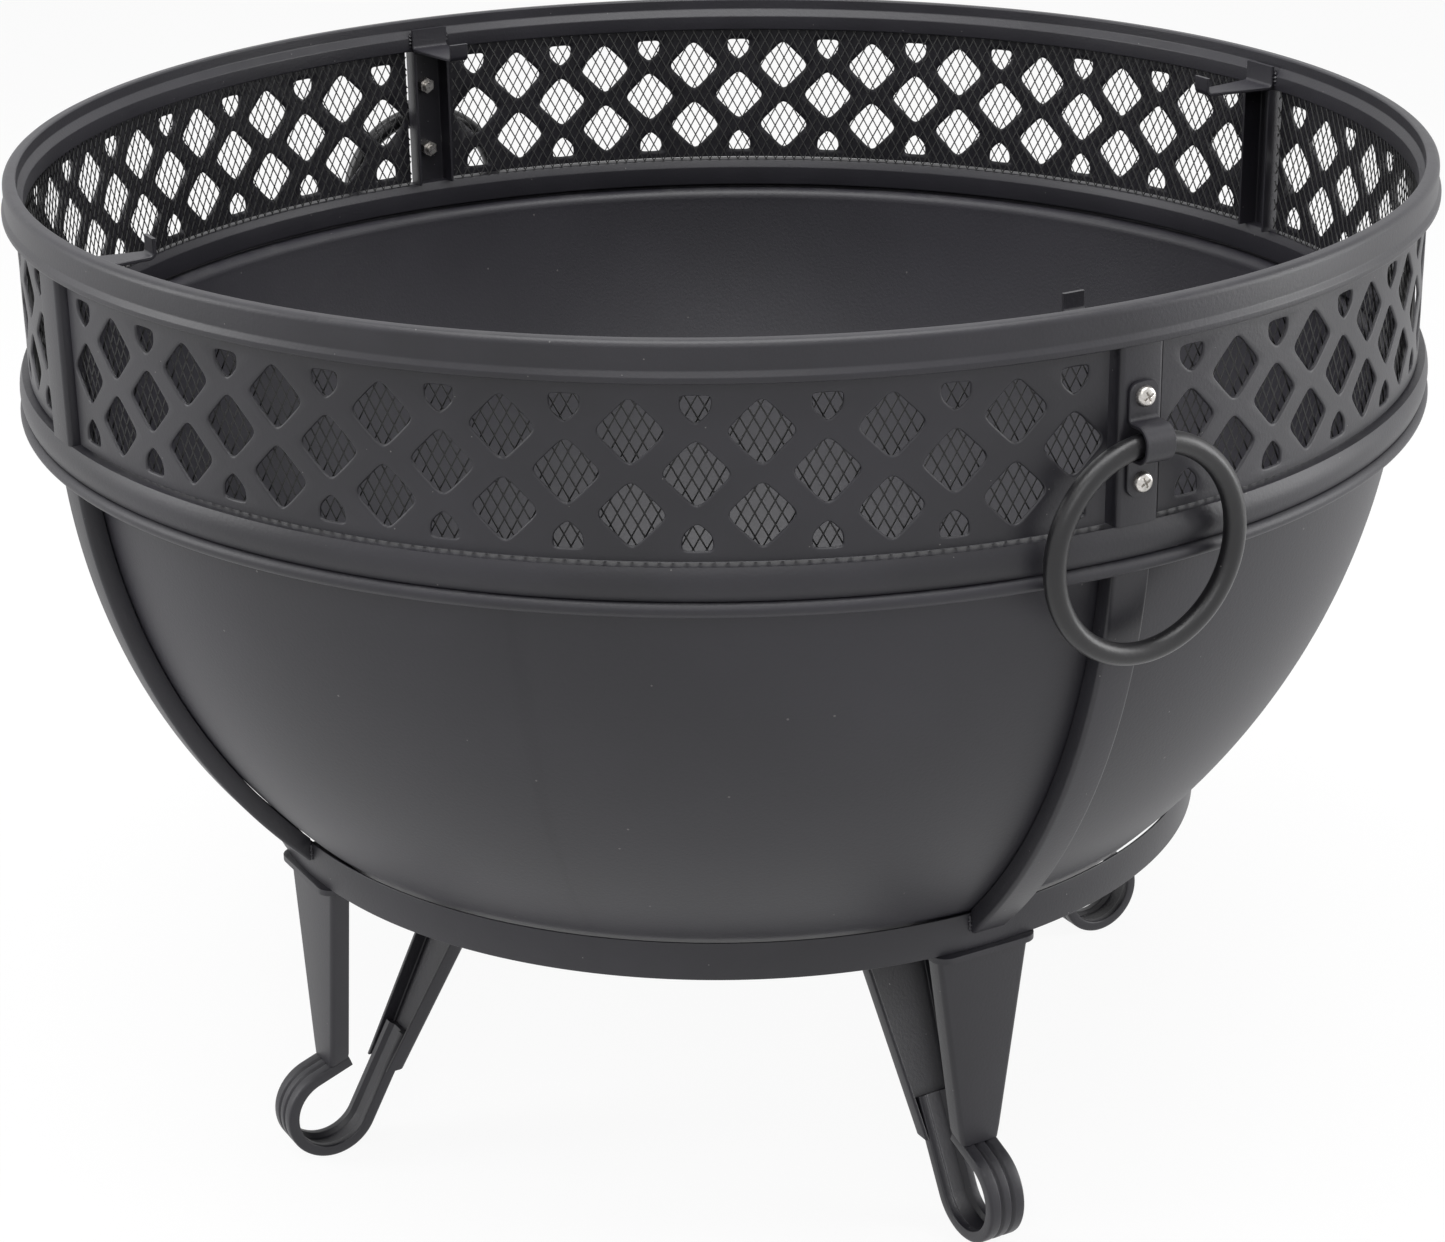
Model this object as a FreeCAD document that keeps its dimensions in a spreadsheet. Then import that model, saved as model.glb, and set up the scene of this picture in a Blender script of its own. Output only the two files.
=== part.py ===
import FreeCAD, Part
import math
import os
import Sketcher
from FreeCAD import Placement, Rotation, Vector

# A round fire pit: a deep sheet-steel bowl under a band of lattice windows, on four looped legs.
# +Z is up, the origin is on the floor under the bowl's axis, and sizes are millimetres.
# Posts, ribs, legs and grate tabs stand on the X and Y axes; the ring handles are on X.

doc = FreeCAD.newDocument("FirePit")

SIZES = [
    ("overall_diameter", 711, "across the rim's flare and the bowl's bead"),
    ("overall_height", 508, "floor to the crown of the rim"),
    ("rim_height", 18, "crown to underside of the rim"),
    ("rim_width", 11, "rim's flare to its inner skirt"),
    ("flare_height", 3, "rim's flared lip"),
    ("flare_slope", 2.5, "height over which the flare runs into the rim's face"),
    ("flare_round", 1.2, "chamfer under the flare"),
    ("crown_radius", 3, "round from the rim's face to its crown"),
    ("crown_drop", 2.6, "crown down to the rim's upright face"),
    ("crown_run", 6.2, "rim's face in to the crest of its crown"),
    ("crown_fall", 0.8, "crest of the crown down to its inner edge"),
    ("skirt_step", 2.8, "rim's inner edge out from its skirt"),
    ("skirt_recess", 5.2, "upright recess under the crown"),
    ("skirt_slope", 4, "height over which the recess runs out to the skirt"),
    ("window_height", 79.8, "rim underside to lower ring"),
    ("lower_ring_height", 15.1, "lower ring, top to bottom"),
    ("lower_ring_width", 8.5, "lower ring, outer edge to inner face"),
    ("lower_ring_inset", 2.5, "flare back to the lower ring's outer edge"),
    ("lower_ring_bulge", 1.8, "lower ring's outer face, past its edges"),
    ("lower_ring_chamfer", 1.8, "lower ring's inner top edge, across"),
    ("lower_ring_slope", 4.5, "lower ring's inner top edge, down"),
    ("bead_radius", 3.5, "rolled edge of the bowl"),
    ("seam_gap", 0.4, "lower ring to the bead under it"),
    ("fit_gap", 0.3, "clearance between pieces that seat on each other"),
    ("sheet", 1.5, "bowl, posts, ribs and lattice sheet"),
    ("band_inset", 1.5, "flare back to the faces of rim and posts"),
    ("panel_inset", 6, "flare back to the face of a lattice panel"),
    ("panel_half_angle", 42.9, "half of a lattice panel's arc, degrees"),
    ("panel_drop", 1.3, "gap under a lattice panel"),
    ("mesh_inset", 9.3, "flare back to the spark mesh"),
    ("mesh_thickness", 1, "spark mesh sheet"),
    ("mesh_half_angle", 42.6, "half of a mesh's arc, degrees"),
    ("hole_pitch", 8.9, "between lattice holes, degrees"),
    ("hole_side", 22, "side of a lattice diamond"),
    ("hole_round", 5, "corner radius of a lattice diamond"),
    ("row_rise", 17.8, "between rows of diamonds"),
    ("small_width", 12.2, "half hole at a panel's edge, width"),
    ("small_height", 10.3, "half hole at a panel's edge, height"),
    ("small_offset", 23.1, "panel's middle to the point of a half hole"),
    ("post_width", 22, "post, across"),
    ("post_depth", 13, "post, face to the tip of its flanges"),
    ("tab_width", 22, "grate tab at its root"),
    ("tab_tip_width", 11, "grate tab at its tip"),
    ("tab_reach", 42, "grate tab, back plate to lip"),
    ("tab_plate_drop", 5, "crown down to the top of a grate tab's back plate"),
    ("tab_lip", 8, "height of a grate tab's lip"),
    ("tab_thickness", 2, "grate tab's bar"),
    ("tab_hole_radius", 3, "hole in a grate tab's back plate"),
    ("tab_hole_rise", 4.6, "grate tab's shelf up to the middle of its hole"),
    ("bowl_radius", 343, "outside of the bowl's sphere"),
    ("bowl_centre_rise", 29.8, "bead up to the centre of the sphere"),
    ("bowl_floor_radius", 40, "round between the bowl's wall and its floor"),
    ("bowl_floor_height", 162, "floor to the underside of the bowl"),
    ("base_ring_height", 19.5, "support ring round the foot of the bowl"),
    ("base_ring_thickness", 2, "support ring's band"),
    ("rib_width", 20, "bowl rib, across"),
    ("rib_depth", 10, "bowl rib, off the bowl"),
    ("rib_end_angle", 45.1, "lower end of a rib, degrees below level"),
    ("plate_thickness", 4, "plate on top of a leg"),
    ("plate_width", 58, "leg plate, across"),
    ("plate_inner", 128, "axis to the inner end of a leg plate"),
    ("plate_overhang", 2.5, "leg plate past the support ring"),
    ("plate_corner", 8, "corner radius of a leg plate"),
    ("leg_sheet", 2, "sheet of the leg channels"),
    ("leg_top_width", 52, "outer leg channel at its top"),
    ("leg_inner_width", 46, "inner leg channel at its top"),
    ("leg_foot_width", 21.4, "outer leg channel at its foot"),
    ("leg_inner_foot", 25, "inner leg channel at its foot"),
    ("leg_flange", 10, "depth of the outer leg channel"),
    ("leg_inner_flange", 8, "depth of the inner leg channel"),
    ("leg_inset", 2.5, "support ring back to the face of a leg"),
    ("leg_end_height", 50, "floor to the outer channel's end, before it is cut to the bar"),
    ("leg_inner_end", 16, "middle of the loop up to the inner channel's end"),
    ("scroll_radius", 25, "looped foot, outside"),
    ("scroll_thickness", 6, "looped foot's bar"),
    ("scroll_width", 20, "looped foot's bar, across"),
    ("scroll_groove", 1.4, "depth of the grooves in the bar's outer face"),
    ("scroll_flute", 2.4, "depth of the flute in the bar's inner face"),
    ("lead_angle", 70, "where the loop leaves the outer channel, degrees above level"),
    ("lead_run", 20, "straight end of the bar under the outer channel"),
    ("lean_angle", 28.7, "inner channel from upright, degrees"),
    ("scroll_run", 50, "straight end of the bar in the inner channel"),
    ("strap_width", 15, "handle strap, across"),
    ("strap_thickness", 2, "handle strap"),
    ("strap_height", 51, "handle strap, end to end"),
    ("strap_drop", 33.6, "crown down to the strap"),
    ("strap_bend", 1.5, "bend between the strap and its loop"),
    ("strap_corner", 4.8, "corner radius of the strap's ends"),
    ("loop_radius", 6.6, "inside of the strap's loop"),
    ("wire_radius", 5, "ring handle's wire"),
    ("ring_radius", 47.5, "ring handle, to the middle of its wire"),
    ("ring_sag", 0.5, "wire below the middle of the loop"),
    ("screw_radius", 2.5, "handle screw's shank"),
    ("screw_head_radius", 4.7, "handle screw's head"),
    ("screw_head_height", 3, "handle screw's head"),
    ("screw_dome", 1.6, "round on the screw's head"),
    ("recess_reach", 5.2, "cross recess in the screw's head, end to end"),
    ("recess_width", 1.1, "cross recess, across one arm"),
    ("recess_depth", 1.3, "cross recess, down from the top of the head"),
    ("screw_inset", 6.5, "strap's end to its screw"),
    ("screw_length", 11, "handle screw under its head"),
    ("screw_clearance", 0.3, "screw hole over the shank, on the radius"),
    ("nut_height", 4, "handle screw's nut"),
    ("nut_across", 8, "handle screw's nut across flats"),
    ("grate_radius", 195, "log grate, to the outside of its ring"),
    ("grate_height", 22, "bowl's floor to the underside of the grate"),
    ("grate_band", 10, "log grate's ring, width"),
    ("grate_bar", 8, "log grate's square bars"),
    ("grate_bar_count", 9, "bars across the log grate"),
]

sheet = doc.addObject("Spreadsheet::Sheet", "sizes")
for row, (alias, value, note) in enumerate(SIZES, start=1):
    sheet.set(f"A{row}", alias)
    sheet.set(f"B{row}", str(value))
    sheet.setAlias(f"B{row}", alias)
    sheet.set(f"C{row}", note)
doc.recompute()

# Levels and radii that several pieces share, as expressions on the sheet.
OUTER = "(sizes.overall_diameter / 2)"
BAND_FACE = f"({OUTER} - sizes.band_inset)"
RIM_INNER = f"({OUTER} - sizes.rim_width)"
PANEL_FACE = f"({OUTER} - sizes.panel_inset)"
RIM_BOTTOM = "(sizes.overall_height - sizes.rim_height)"
RING_TOP = f"({RIM_BOTTOM} - sizes.window_height)"
RING_BOTTOM = f"({RING_TOP} - sizes.lower_ring_height)"
BEAD_LEVEL = f"({RING_BOTTOM} - sizes.seam_gap - sizes.bead_radius)"
BEAD_LINE = f"({OUTER} - sizes.bead_radius)"
SPHERE_LEVEL = f"({BEAD_LEVEL} + sizes.bowl_centre_rise)"
WINDOW_MIDDLE = f"({RING_TOP} + sizes.panel_drop / 2 + sizes.window_height / 2)"
BASE_TOP = "(sizes.bowl_floor_height + sizes.base_ring_height)"
BASE_INNER = (f"(sqrt(sizes.bowl_radius ^ 2 - ({SPHERE_LEVEL} - {BASE_TOP}) ^ 2)"
              " + sizes.fit_gap)")
BASE_OUTER = f"({BASE_INNER} + sizes.base_ring_thickness)"
PLATE_BOTTOM = "(sizes.bowl_floor_height - sizes.plate_thickness)"
LEG_FACE = f"({BASE_OUTER} - sizes.leg_inset)"
SCROLL_LEVEL = "sizes.scroll_radius"
SCROLL_LINE = f"({LEG_FACE} - sizes.fit_gap)"
TAB_SHELF = f"({RIM_BOTTOM} + sizes.fit_gap + sizes.tab_thickness)"
LOOP_LINE = f"({BAND_FACE} + sizes.loop_radius)"
STRAP_TOP = "(sizes.overall_height - sizes.strap_drop)"
LOOP_LEVEL = f"({STRAP_TOP} - sizes.strap_height / 2)"
PIVOT_LEVEL = f"({LOOP_LEVEL} - sizes.ring_sag)"

SIDES = {"right": 0, "back": 90, "left": 180, "front": 270}
CORNERS = {"back_right": 45, "back_left": 135, "front_left": 225, "front_right": 315}
pieces = []


def num(expression):
    """The value of an expression on the sheet, as a plain number."""
    return float(sheet.evalExpression(str(expression)))


def turned(degrees, height=0.0):
    """A placement turned about the pit's axis."""
    return Placement(Vector(0, 0, height), Rotation(Vector(0, 0, 1), degrees))


def new_body(label):
    body = doc.addObject("PartDesign::Body", label)
    body.Label = label
    pieces.append(body)
    return body


def new_sketch(body, role, offset=None):
    """A sketch on one of the body's origin planes, moved by an offset in the plane's frame."""
    plane = [item for item in body.Origin.OriginFeatures if item.Role == role][0]
    sketch = body.newObject("Sketcher::SketchObject", body.Label + "_sketch")
    sketch.AttachmentSupport = (plane, "")
    sketch.MapMode = "FlatFace"
    if offset is not None:
        sketch.AttachmentOffset = offset
    return sketch


def drive(sketch, kind, *where):
    """Adds a constraint whose last argument is an expression."""
    *where, expression = where
    index = sketch.addConstraint(Sketcher.Constraint(kind, *where, num(expression)))
    sketch.setExpression(f"Constraints[{index}]", expression)


def pin(sketch, edge, end, x, y):
    """Holds one end of an edge at x, y from the sketch's origin."""
    if num(x) == 0:
        sketch.addConstraint(Sketcher.Constraint("PointOnObject", edge, end, -2))
    else:
        drive(sketch, "DistanceX", -1, 1, edge, end, x)
    if num(y) == 0:
        sketch.addConstraint(Sketcher.Constraint("PointOnObject", edge, end, -1))
    else:
        drive(sketch, "DistanceY", -1, 1, edge, end, y)


def arc_between(start, stop, radius):
    """The short counterclockwise arc that joins two points, with its centre to the left of
    the way from start to stop."""
    chord = stop - start
    half = chord.Length / 2
    reach = math.sqrt(max(radius * radius - half * half, 0))
    centre = (start + stop) / 2 + Vector(-chord.y, chord.x, 0).normalize() * reach
    first = math.atan2(start.y - centre.y, start.x - centre.x)
    last = math.atan2(stop.y - centre.y, stop.x - centre.x)
    if last < first:
        last += 2 * math.pi
    return Part.ArcOfCircle(Part.Circle(centre, Vector(0, 0, 1), radius), first, last)


def outline(sketch, points, arcs=None):
    """A closed outline through points given as pairs of expressions. arcs gives, for the
    edge that leaves a point, the radius of its arc (negative bulges to the left)."""
    arcs = arcs or {}
    places = [Vector(num(x), num(y), 0) for x, y in points]
    ends = []
    for i, start in enumerate(places):
        stop = places[(i + 1) % len(places)]
        if i in arcs:
            radius = arcs[i].lstrip("-")
            if arcs[i].startswith("-"):
                edge = sketch.addGeometry(arc_between(stop, start, num(radius)), False)
                ends.append((edge, 2, 1))
            else:
                edge = sketch.addGeometry(arc_between(start, stop, num(radius)), False)
                ends.append((edge, 1, 2))
            drive(sketch, "Radius", edge, radius)
        else:
            edge = sketch.addGeometry(Part.LineSegment(start, stop), False)
            ends.append((edge, 1, 2))
    for i, (edge, _, last) in enumerate(ends):
        following, first, _ = ends[(i + 1) % len(ends)]
        sketch.addConstraint(Sketcher.Constraint("Coincident", edge, last, following, first))
    for (edge, first, _), (x, y) in zip(ends, points):
        pin(sketch, edge, first, x, y)


def circle(sketch, x, y, radius):
    edge = sketch.addGeometry(Part.Circle(Vector(num(x), num(y), 0), Vector(0, 0, 1),
                                          num(radius)), False)
    drive(sketch, "Radius", edge, radius)
    pin(sketch, edge, 3, x, y)


def rounded_square(sketch, side, radius):
    """A square round the sketch's origin with arcs tangent to its sides."""
    reach = num(side) / 2
    flat = reach - num(radius)
    edges = []
    for turn in range(4):
        spin = Rotation(Vector(0, 0, 1), 90 * turn)
        line = Part.LineSegment(spin.multVec(Vector(reach, -flat, 0)),
                                spin.multVec(Vector(reach, flat, 0)))
        bend = Part.Arc(spin.multVec(Vector(reach, flat, 0)),
                        spin.multVec(Vector(flat + num(radius) / math.sqrt(2),
                                            flat + num(radius) / math.sqrt(2), 0)),
                        spin.multVec(Vector(flat, reach, 0)))
        edges.append((sketch.addGeometry(line, False), sketch.addGeometry(bend, False)))
    for turn, (line, bend) in enumerate(edges):
        following = edges[(turn + 1) % 4][0]
        sketch.addConstraint(Sketcher.Constraint("Tangent", line, 2, bend, 1))
        sketch.addConstraint(Sketcher.Constraint("Tangent", bend, 2, following, 1))
        sketch.addConstraint(Sketcher.Constraint("Vertical" if turn % 2 == 0 else "Horizontal",
                                                 line))
        drive(sketch, "Radius", bend, radius)
    drive(sketch, "DistanceX", edges[2][0], 1, edges[0][0], 2, side)
    drive(sketch, "DistanceY", edges[3][0], 1, edges[1][0], 2, side)
    drive(sketch, "DistanceX", -1, 1, edges[0][0], 1, f"({side}) / 2")
    drive(sketch, "DistanceY", -1, 1, edges[1][0], 1, f"({side}) / 2")


def revolve(body, sketch, axis="V_Axis", angle=None, back_angle=None, name="Revolution"):
    """Turns a sketch about one of its axes: right round, or by an angle each way."""
    feature = body.newObject("PartDesign::Revolution", body.Label + "_" + name)
    feature.Profile = sketch
    feature.ReferenceAxis = (sketch, [axis])
    feature.Angle = 360
    if angle is not None:
        feature.setExpression("Angle", angle)
    if back_angle is not None:
        feature.Type = "TwoAngles"
        feature.setExpression("Angle2", back_angle)
    return feature


def pad(body, sketch, length, midplane=False, backwards=False):
    feature = body.newObject("PartDesign::Pad", body.Label + "_pad")
    feature.Profile = sketch
    feature.setExpression("Length", length)
    if midplane:
        feature.SideType = "Symmetric"
    feature.Reversed = backwards
    return feature


def pocket(body, sketch, length, midplane=False, backwards=False):
    feature = body.newObject("PartDesign::Pocket", body.Label + "_pocket")
    feature.Profile = sketch
    feature.setExpression("Length", length)
    if midplane:
        feature.SideType = "Symmetric"
    feature.Reversed = backwards
    return feature


def ring_pattern(body, feature, count, angle):
    """Repeats a feature about the pit's axis and makes the result the body's tip."""
    axis = [item for item in body.Origin.OriginFeatures if item.Role == "Z_Axis"][0]
    pattern = body.newObject("PartDesign::PolarPattern", body.Label + "_pattern")
    pattern.Originals = [feature]
    pattern.Axis = (axis, [""])
    pattern.Occurrences = count
    pattern.setExpression("Angle", angle)
    body.Tip = pattern
    return pattern


def checked_cut(body, before):
    """Recomputes and stops if the last cut took nothing away."""
    doc.recompute()
    if body.Shape.Volume >= before - 1e-6:
        raise RuntimeError(body.Label + ": a cut removed nothing")
    return body.Shape.Volume


def top_rim():
    """A formed ring: rounded crown, upright face, flared lip, and an inner skirt that is
    stepped inwards under the crown."""
    body = new_body("top_rim_ring")
    sketch = new_sketch(body, "XZ_Plane")
    top = "sizes.overall_height"
    edge = f"({RIM_INNER} + sizes.skirt_step)"
    outline(sketch, [
        (RIM_INNER, RIM_BOTTOM),
        (f"{OUTER} - sizes.flare_round", RIM_BOTTOM),
        (OUTER, f"{RIM_BOTTOM} + sizes.flare_round"),
        (OUTER, f"{RIM_BOTTOM} + sizes.flare_height"),
        (BAND_FACE, f"{RIM_BOTTOM} + sizes.flare_height + sizes.flare_slope"),
        (BAND_FACE, f"{top} - sizes.crown_drop"),
        (f"{BAND_FACE} - 0.8 * sizes.crown_radius", f"{top} - 0.15 * sizes.crown_drop"),
        (f"{BAND_FACE} - sizes.crown_run", top),
        (edge, f"{top} - sizes.crown_fall"),
        (edge, f"{top} - sizes.crown_fall - sizes.skirt_recess"),
        (RIM_INNER, f"{top} - sizes.crown_fall - sizes.skirt_recess - sizes.skirt_slope"),
    ], {5: "sizes.crown_radius"})
    revolve(body, sketch)


def lower_ring():
    """A half-round band under the windows, with a chamfered inner top edge."""
    body = new_body("lower_ring")
    sketch = new_sketch(body, "XZ_Plane")
    edge = f"({OUTER} - sizes.lower_ring_inset)"
    inner = f"({edge} - sizes.lower_ring_width)"
    bulge = "sizes.lower_ring_bulge"
    outline(sketch, [
        (inner, RING_BOTTOM),
        (edge, RING_BOTTOM),
        (edge, RING_TOP),
        (f"{inner} + sizes.lower_ring_chamfer", RING_TOP),
        (inner, f"{RING_TOP} - sizes.lower_ring_slope"),
    ], {1: f"(sizes.lower_ring_height ^ 2 / 8 / {bulge} + {bulge} / 2)"})
    revolve(body, sketch)


def bowl():
    """A spherical sheet bowl with a flat floor, a top flange and a rolled bead."""
    body = new_body("bowl")
    sketch = new_sketch(body, "XZ_Plane")
    floor = "sizes.bowl_floor_height"
    mouth = f"sqrt(sizes.bowl_radius ^ 2 - ({SPHERE_LEVEL} - {BEAD_LEVEL}) ^ 2)"
    foot = f"sqrt(sizes.bowl_radius ^ 2 - ({SPHERE_LEVEL} - {floor}) ^ 2)"
    outline(sketch, [
        ("0", floor),
        (foot, floor),
        (mouth, BEAD_LEVEL),
        ("0", BEAD_LEVEL),
    ], {1: "sizes.bowl_radius"})
    solid = revolve(body, sketch)
    doc.recompute()
    low = [f"Edge{i}" for i, edge in enumerate(solid.Shape.Edges, start=1)
           if abs(edge.BoundBox.ZMax - num(floor)) < 1e-3 and edge.Length > num(foot)]
    corner = body.newObject("PartDesign::Fillet", "bowl_fillet")
    corner.Base = (solid, low)
    corner.setExpression("Radius", "sizes.bowl_floor_radius")
    doc.recompute()
    lid = [f"Face{i}" for i, face in enumerate(corner.Shape.Faces, start=1)
           if abs(face.CenterOfMass.z - num(BEAD_LEVEL)) < 1e-3]
    shell = body.newObject("PartDesign::Thickness", "bowl_shell")
    shell.Base = (corner, lid)
    shell.setExpression("Value", "sizes.sheet")
    shell.Reversed = True
    doc.recompute()
    flange = new_sketch(body, "XZ_Plane")
    outline(flange, [
        (f"{mouth} - sizes.sheet", f"{BEAD_LEVEL} - 1"),
        (f"{BEAD_LINE} + 1", f"{BEAD_LEVEL} - 1"),
        (f"{BEAD_LINE} + 1", f"{BEAD_LEVEL} + 1"),
        (f"{mouth} - sizes.sheet", f"{BEAD_LEVEL} + 1"),
    ])
    revolve(body, flange, name="flange")
    bead = new_sketch(body, "XZ_Plane")
    circle(bead, BEAD_LINE, BEAD_LEVEL, "sizes.bead_radius")
    revolve(body, bead, name="bead")


def base_ring():
    """A plain band round the foot of the bowl."""
    body = new_body("base_ring")
    sketch = new_sketch(body, "XZ_Plane")
    outline(sketch, [
        (BASE_INNER, "sizes.bowl_floor_height"),
        (BASE_OUTER, "sizes.bowl_floor_height"),
        (BASE_OUTER, BASE_TOP),
        (BASE_INNER, BASE_TOP),
    ])
    revolve(body, sketch)


def channel_points(x_face, x_tips, width, sheet_size):
    """A U section with its web at x_face and its flanges running to x_tips, drawn with its
    left side on the sketch's axis."""
    inside = "+" if num(x_tips) > num(x_face) else "-"
    far = f"({width} - {sheet_size})"
    web = f"({x_face} {inside} {sheet_size})"
    return [
        (x_face, "0"), (x_tips, "0"), (x_tips, sheet_size), (web, sheet_size),
        (web, far), (x_tips, far), (x_tips, width), (x_face, width),
    ]


def centred(width, height=0.0):
    """Moves a sketch so that a section drawn from its axis is centred across the piece."""
    return Placement(Vector(0, -num(width) / 2, height), Rotation())


def post(side, angle, with_screws):
    """An upright channel between the rim and the lower ring, its flanges turned inwards."""
    body = new_body("post_" + side)
    sketch = new_sketch(body, "XY_Plane", centred("sizes.post_width", num(RING_TOP)))
    outline(sketch, channel_points(BAND_FACE, f"({BAND_FACE} - sizes.post_depth)",
                                   "sizes.post_width", "sizes.sheet"))
    pad(body, sketch, "sizes.window_height")
    if with_screws:
        doc.recompute()
        before = body.Shape.Volume
        holes = new_sketch(body, "YZ_Plane")
        for level in screw_levels():
            circle(holes, "0", level, "sizes.screw_radius + sizes.screw_clearance")
        pocket(body, holes, OUTER, backwards=True)
        checked_cut(body, before)
    body.Placement = turned(angle)


def lattice_panel(corner, angle):
    """A curved sheet with three rows of diamonds and a row of half holes at each edge."""
    body = new_body("lattice_panel_" + corner)
    low = f"({RING_TOP} + sizes.panel_drop)"
    high = f"({RIM_BOTTOM} - sizes.fit_gap)"
    sketch = new_sketch(body, "XZ_Plane")
    outline(sketch, [
        (f"{PANEL_FACE} - sizes.sheet", low), (PANEL_FACE, low),
        (PANEL_FACE, high), (f"{PANEL_FACE} - sizes.sheet", high),
    ])
    margin = "sizes.panel_half_angle - 4.5 * sizes.hole_pitch"
    revolve(body, sketch, angle=f"9 * sizes.hole_pitch + {margin}", back_angle=margin)
    doc.recompute()
    volume = body.Shape.Volume
    pitch = num("sizes.hole_pitch")
    tilt = Rotation(Vector(0, 0, 1), 45)
    rows = [(0, 0, 10), (1, 0.5, 9), (-1, 0.5, 9)]
    for row, shift, count in rows:
        level = num(f"{WINDOW_MIDDLE} + {row} * sizes.row_rise")
        swing = Rotation(Vector(0, 1, 0), shift * pitch)
        hole = new_sketch(body, "YZ_Plane", Placement(Vector(0, level, 0), swing * tilt))
        rounded_square(hole, "sizes.hole_side", "sizes.hole_round")
        cut = pocket(body, hole, OUTER, backwards=True)
        volume = checked_cut(body, volume)
        ring_pattern(body, cut, count, f"{count - 1} * sizes.hole_pitch")
        volume = checked_cut(body, volume)
    for upwards in (1, -1):
        flip = Rotation(Vector(0, 0, 1), 0 if upwards == 1 else 180)
        level = num(f"{WINDOW_MIDDLE} + {upwards} * sizes.small_offset")
        corner_shift = flip.multVec(Vector(-num("sizes.small_width") / 2, 0, 0))
        place = Placement(Vector(0, level, 0) + corner_shift, flip)
        hole = new_sketch(body, "YZ_Plane", place)
        wide = "sizes.small_width"
        tall = "sizes.small_height"
        outline(hole, [
            (f"{wide} * 0.38", "1"), (f"{wide} * 0.62", "1"),
            (wide, f"{tall} * 0.52"), (wide, f"{tall} * 0.74"), (f"{wide} * 0.78", tall),
            (f"{wide} * 0.22", tall), ("0", f"{tall} * 0.74"), ("0", f"{tall} * 0.52"),
        ])
        cut = pocket(body, hole, OUTER, backwards=True)
        volume = checked_cut(body, volume)
        ring_pattern(body, cut, 10, "9 * sizes.hole_pitch")
        volume = checked_cut(body, volume)
    body.Placement = turned(angle - 4.5 * pitch)


def spark_mesh(corner, angle):
    """The expanded-metal screen behind a panel, as the thin sheet that it is cut from."""
    body = new_body("spark_mesh_" + corner)
    face = f"({OUTER} - sizes.mesh_inset)"
    high = f"({RIM_BOTTOM} - sizes.fit_gap)"
    low = f"({RING_TOP} + sizes.fit_gap)"
    sketch = new_sketch(body, "XZ_Plane")
    outline(sketch, [
        (f"{face} - sizes.mesh_thickness", low), (face, low),
        (face, high), (f"{face} - sizes.mesh_thickness", high),
    ])
    revolve(body, sketch, angle="sizes.mesh_half_angle", back_angle="sizes.mesh_half_angle")
    body.Placement = turned(angle)


def grate_tab(side, angle):
    """A bent bar on the rim's skirt: a drilled back plate, a tapered shelf and a lip, on
    which a cooking grate would rest."""
    body = new_body("grate_tab_" + side)
    back = f"({RIM_INNER} - sizes.fit_gap)"
    shelf = TAB_SHELF
    thick = "sizes.tab_thickness"
    top = "(sizes.overall_height - sizes.tab_plate_drop)"
    tip = f"({back} - sizes.tab_reach)"
    plate = new_sketch(body, "XZ_Plane")
    outline(plate, [
        (f"{back} - {thick}", f"{shelf} - {thick}"), (back, f"{shelf} - {thick}"),
        (back, top), (f"{back} - {thick}", top),
    ])
    pad(body, plate, "sizes.tab_width", midplane=True)
    shelf_sketch = new_sketch(body, "XY_Plane",
                              centred("sizes.tab_width", num(f"{shelf} - {thick}")))
    notch = "(sizes.tab_width - sizes.tab_tip_width) / 2"
    outline(shelf_sketch, [
        (f"{back} - {thick}", "0"), (f"{back} - {thick}", "sizes.tab_width"),
        (tip, f"sizes.tab_width - {notch}"), (tip, notch),
    ])
    pad(body, shelf_sketch, thick)
    lip = new_sketch(body, "XZ_Plane")
    outline(lip, [
        (tip, f"{shelf} - {thick}"), (f"{tip} + {thick}", f"{shelf} - {thick}"),
        (f"{tip} + {thick}", f"{shelf} + sizes.tab_lip"), (tip, f"{shelf} + sizes.tab_lip"),
    ])
    pad(body, lip, "sizes.tab_tip_width", midplane=True)
    doc.recompute()
    before = body.Shape.Volume
    hole = new_sketch(body, "YZ_Plane")
    circle(hole, "0", f"{shelf} + sizes.tab_hole_rise", "sizes.tab_hole_radius")
    pocket(body, hole, OUTER, backwards=True)
    checked_cut(body, before)
    body.Placement = turned(angle)


def rib(side, angle):
    """A channel that follows the bowl from the bead to the support ring, which it overlaps."""
    body = new_body("bowl_rib_" + side)
    start = math.degrees(math.asin(num(
        f"({SPHERE_LEVEL} - {BEAD_LEVEL} + sizes.bead_radius + sizes.fit_gap)"
        " / (sizes.bowl_radius + sizes.rib_depth - sizes.sheet)")))
    place = centred("sizes.rib_width", num(SPHERE_LEVEL))
    place.Rotation = Rotation(Vector(0, 1, 0), start)
    sketch = new_sketch(body, "XY_Plane", place)
    outline(sketch, channel_points("(sizes.bowl_radius + sizes.rib_depth)",
                                   "(sizes.bowl_radius + sizes.fit_gap)",
                                   "sizes.rib_width", "sizes.sheet"))
    revolve(body, sketch, angle=f"sizes.rib_end_angle - {start}")
    doc.recompute()
    before = body.Shape.Volume
    well = new_sketch(body, "XY_Plane")
    circle(well, "0", "0", f"{BASE_OUTER} + sizes.fit_gap")
    pocket(body, well, f"{BASE_TOP} + sizes.fit_gap", backwards=True)
    checked_cut(body, before)
    body.Placement = turned(angle)


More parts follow.
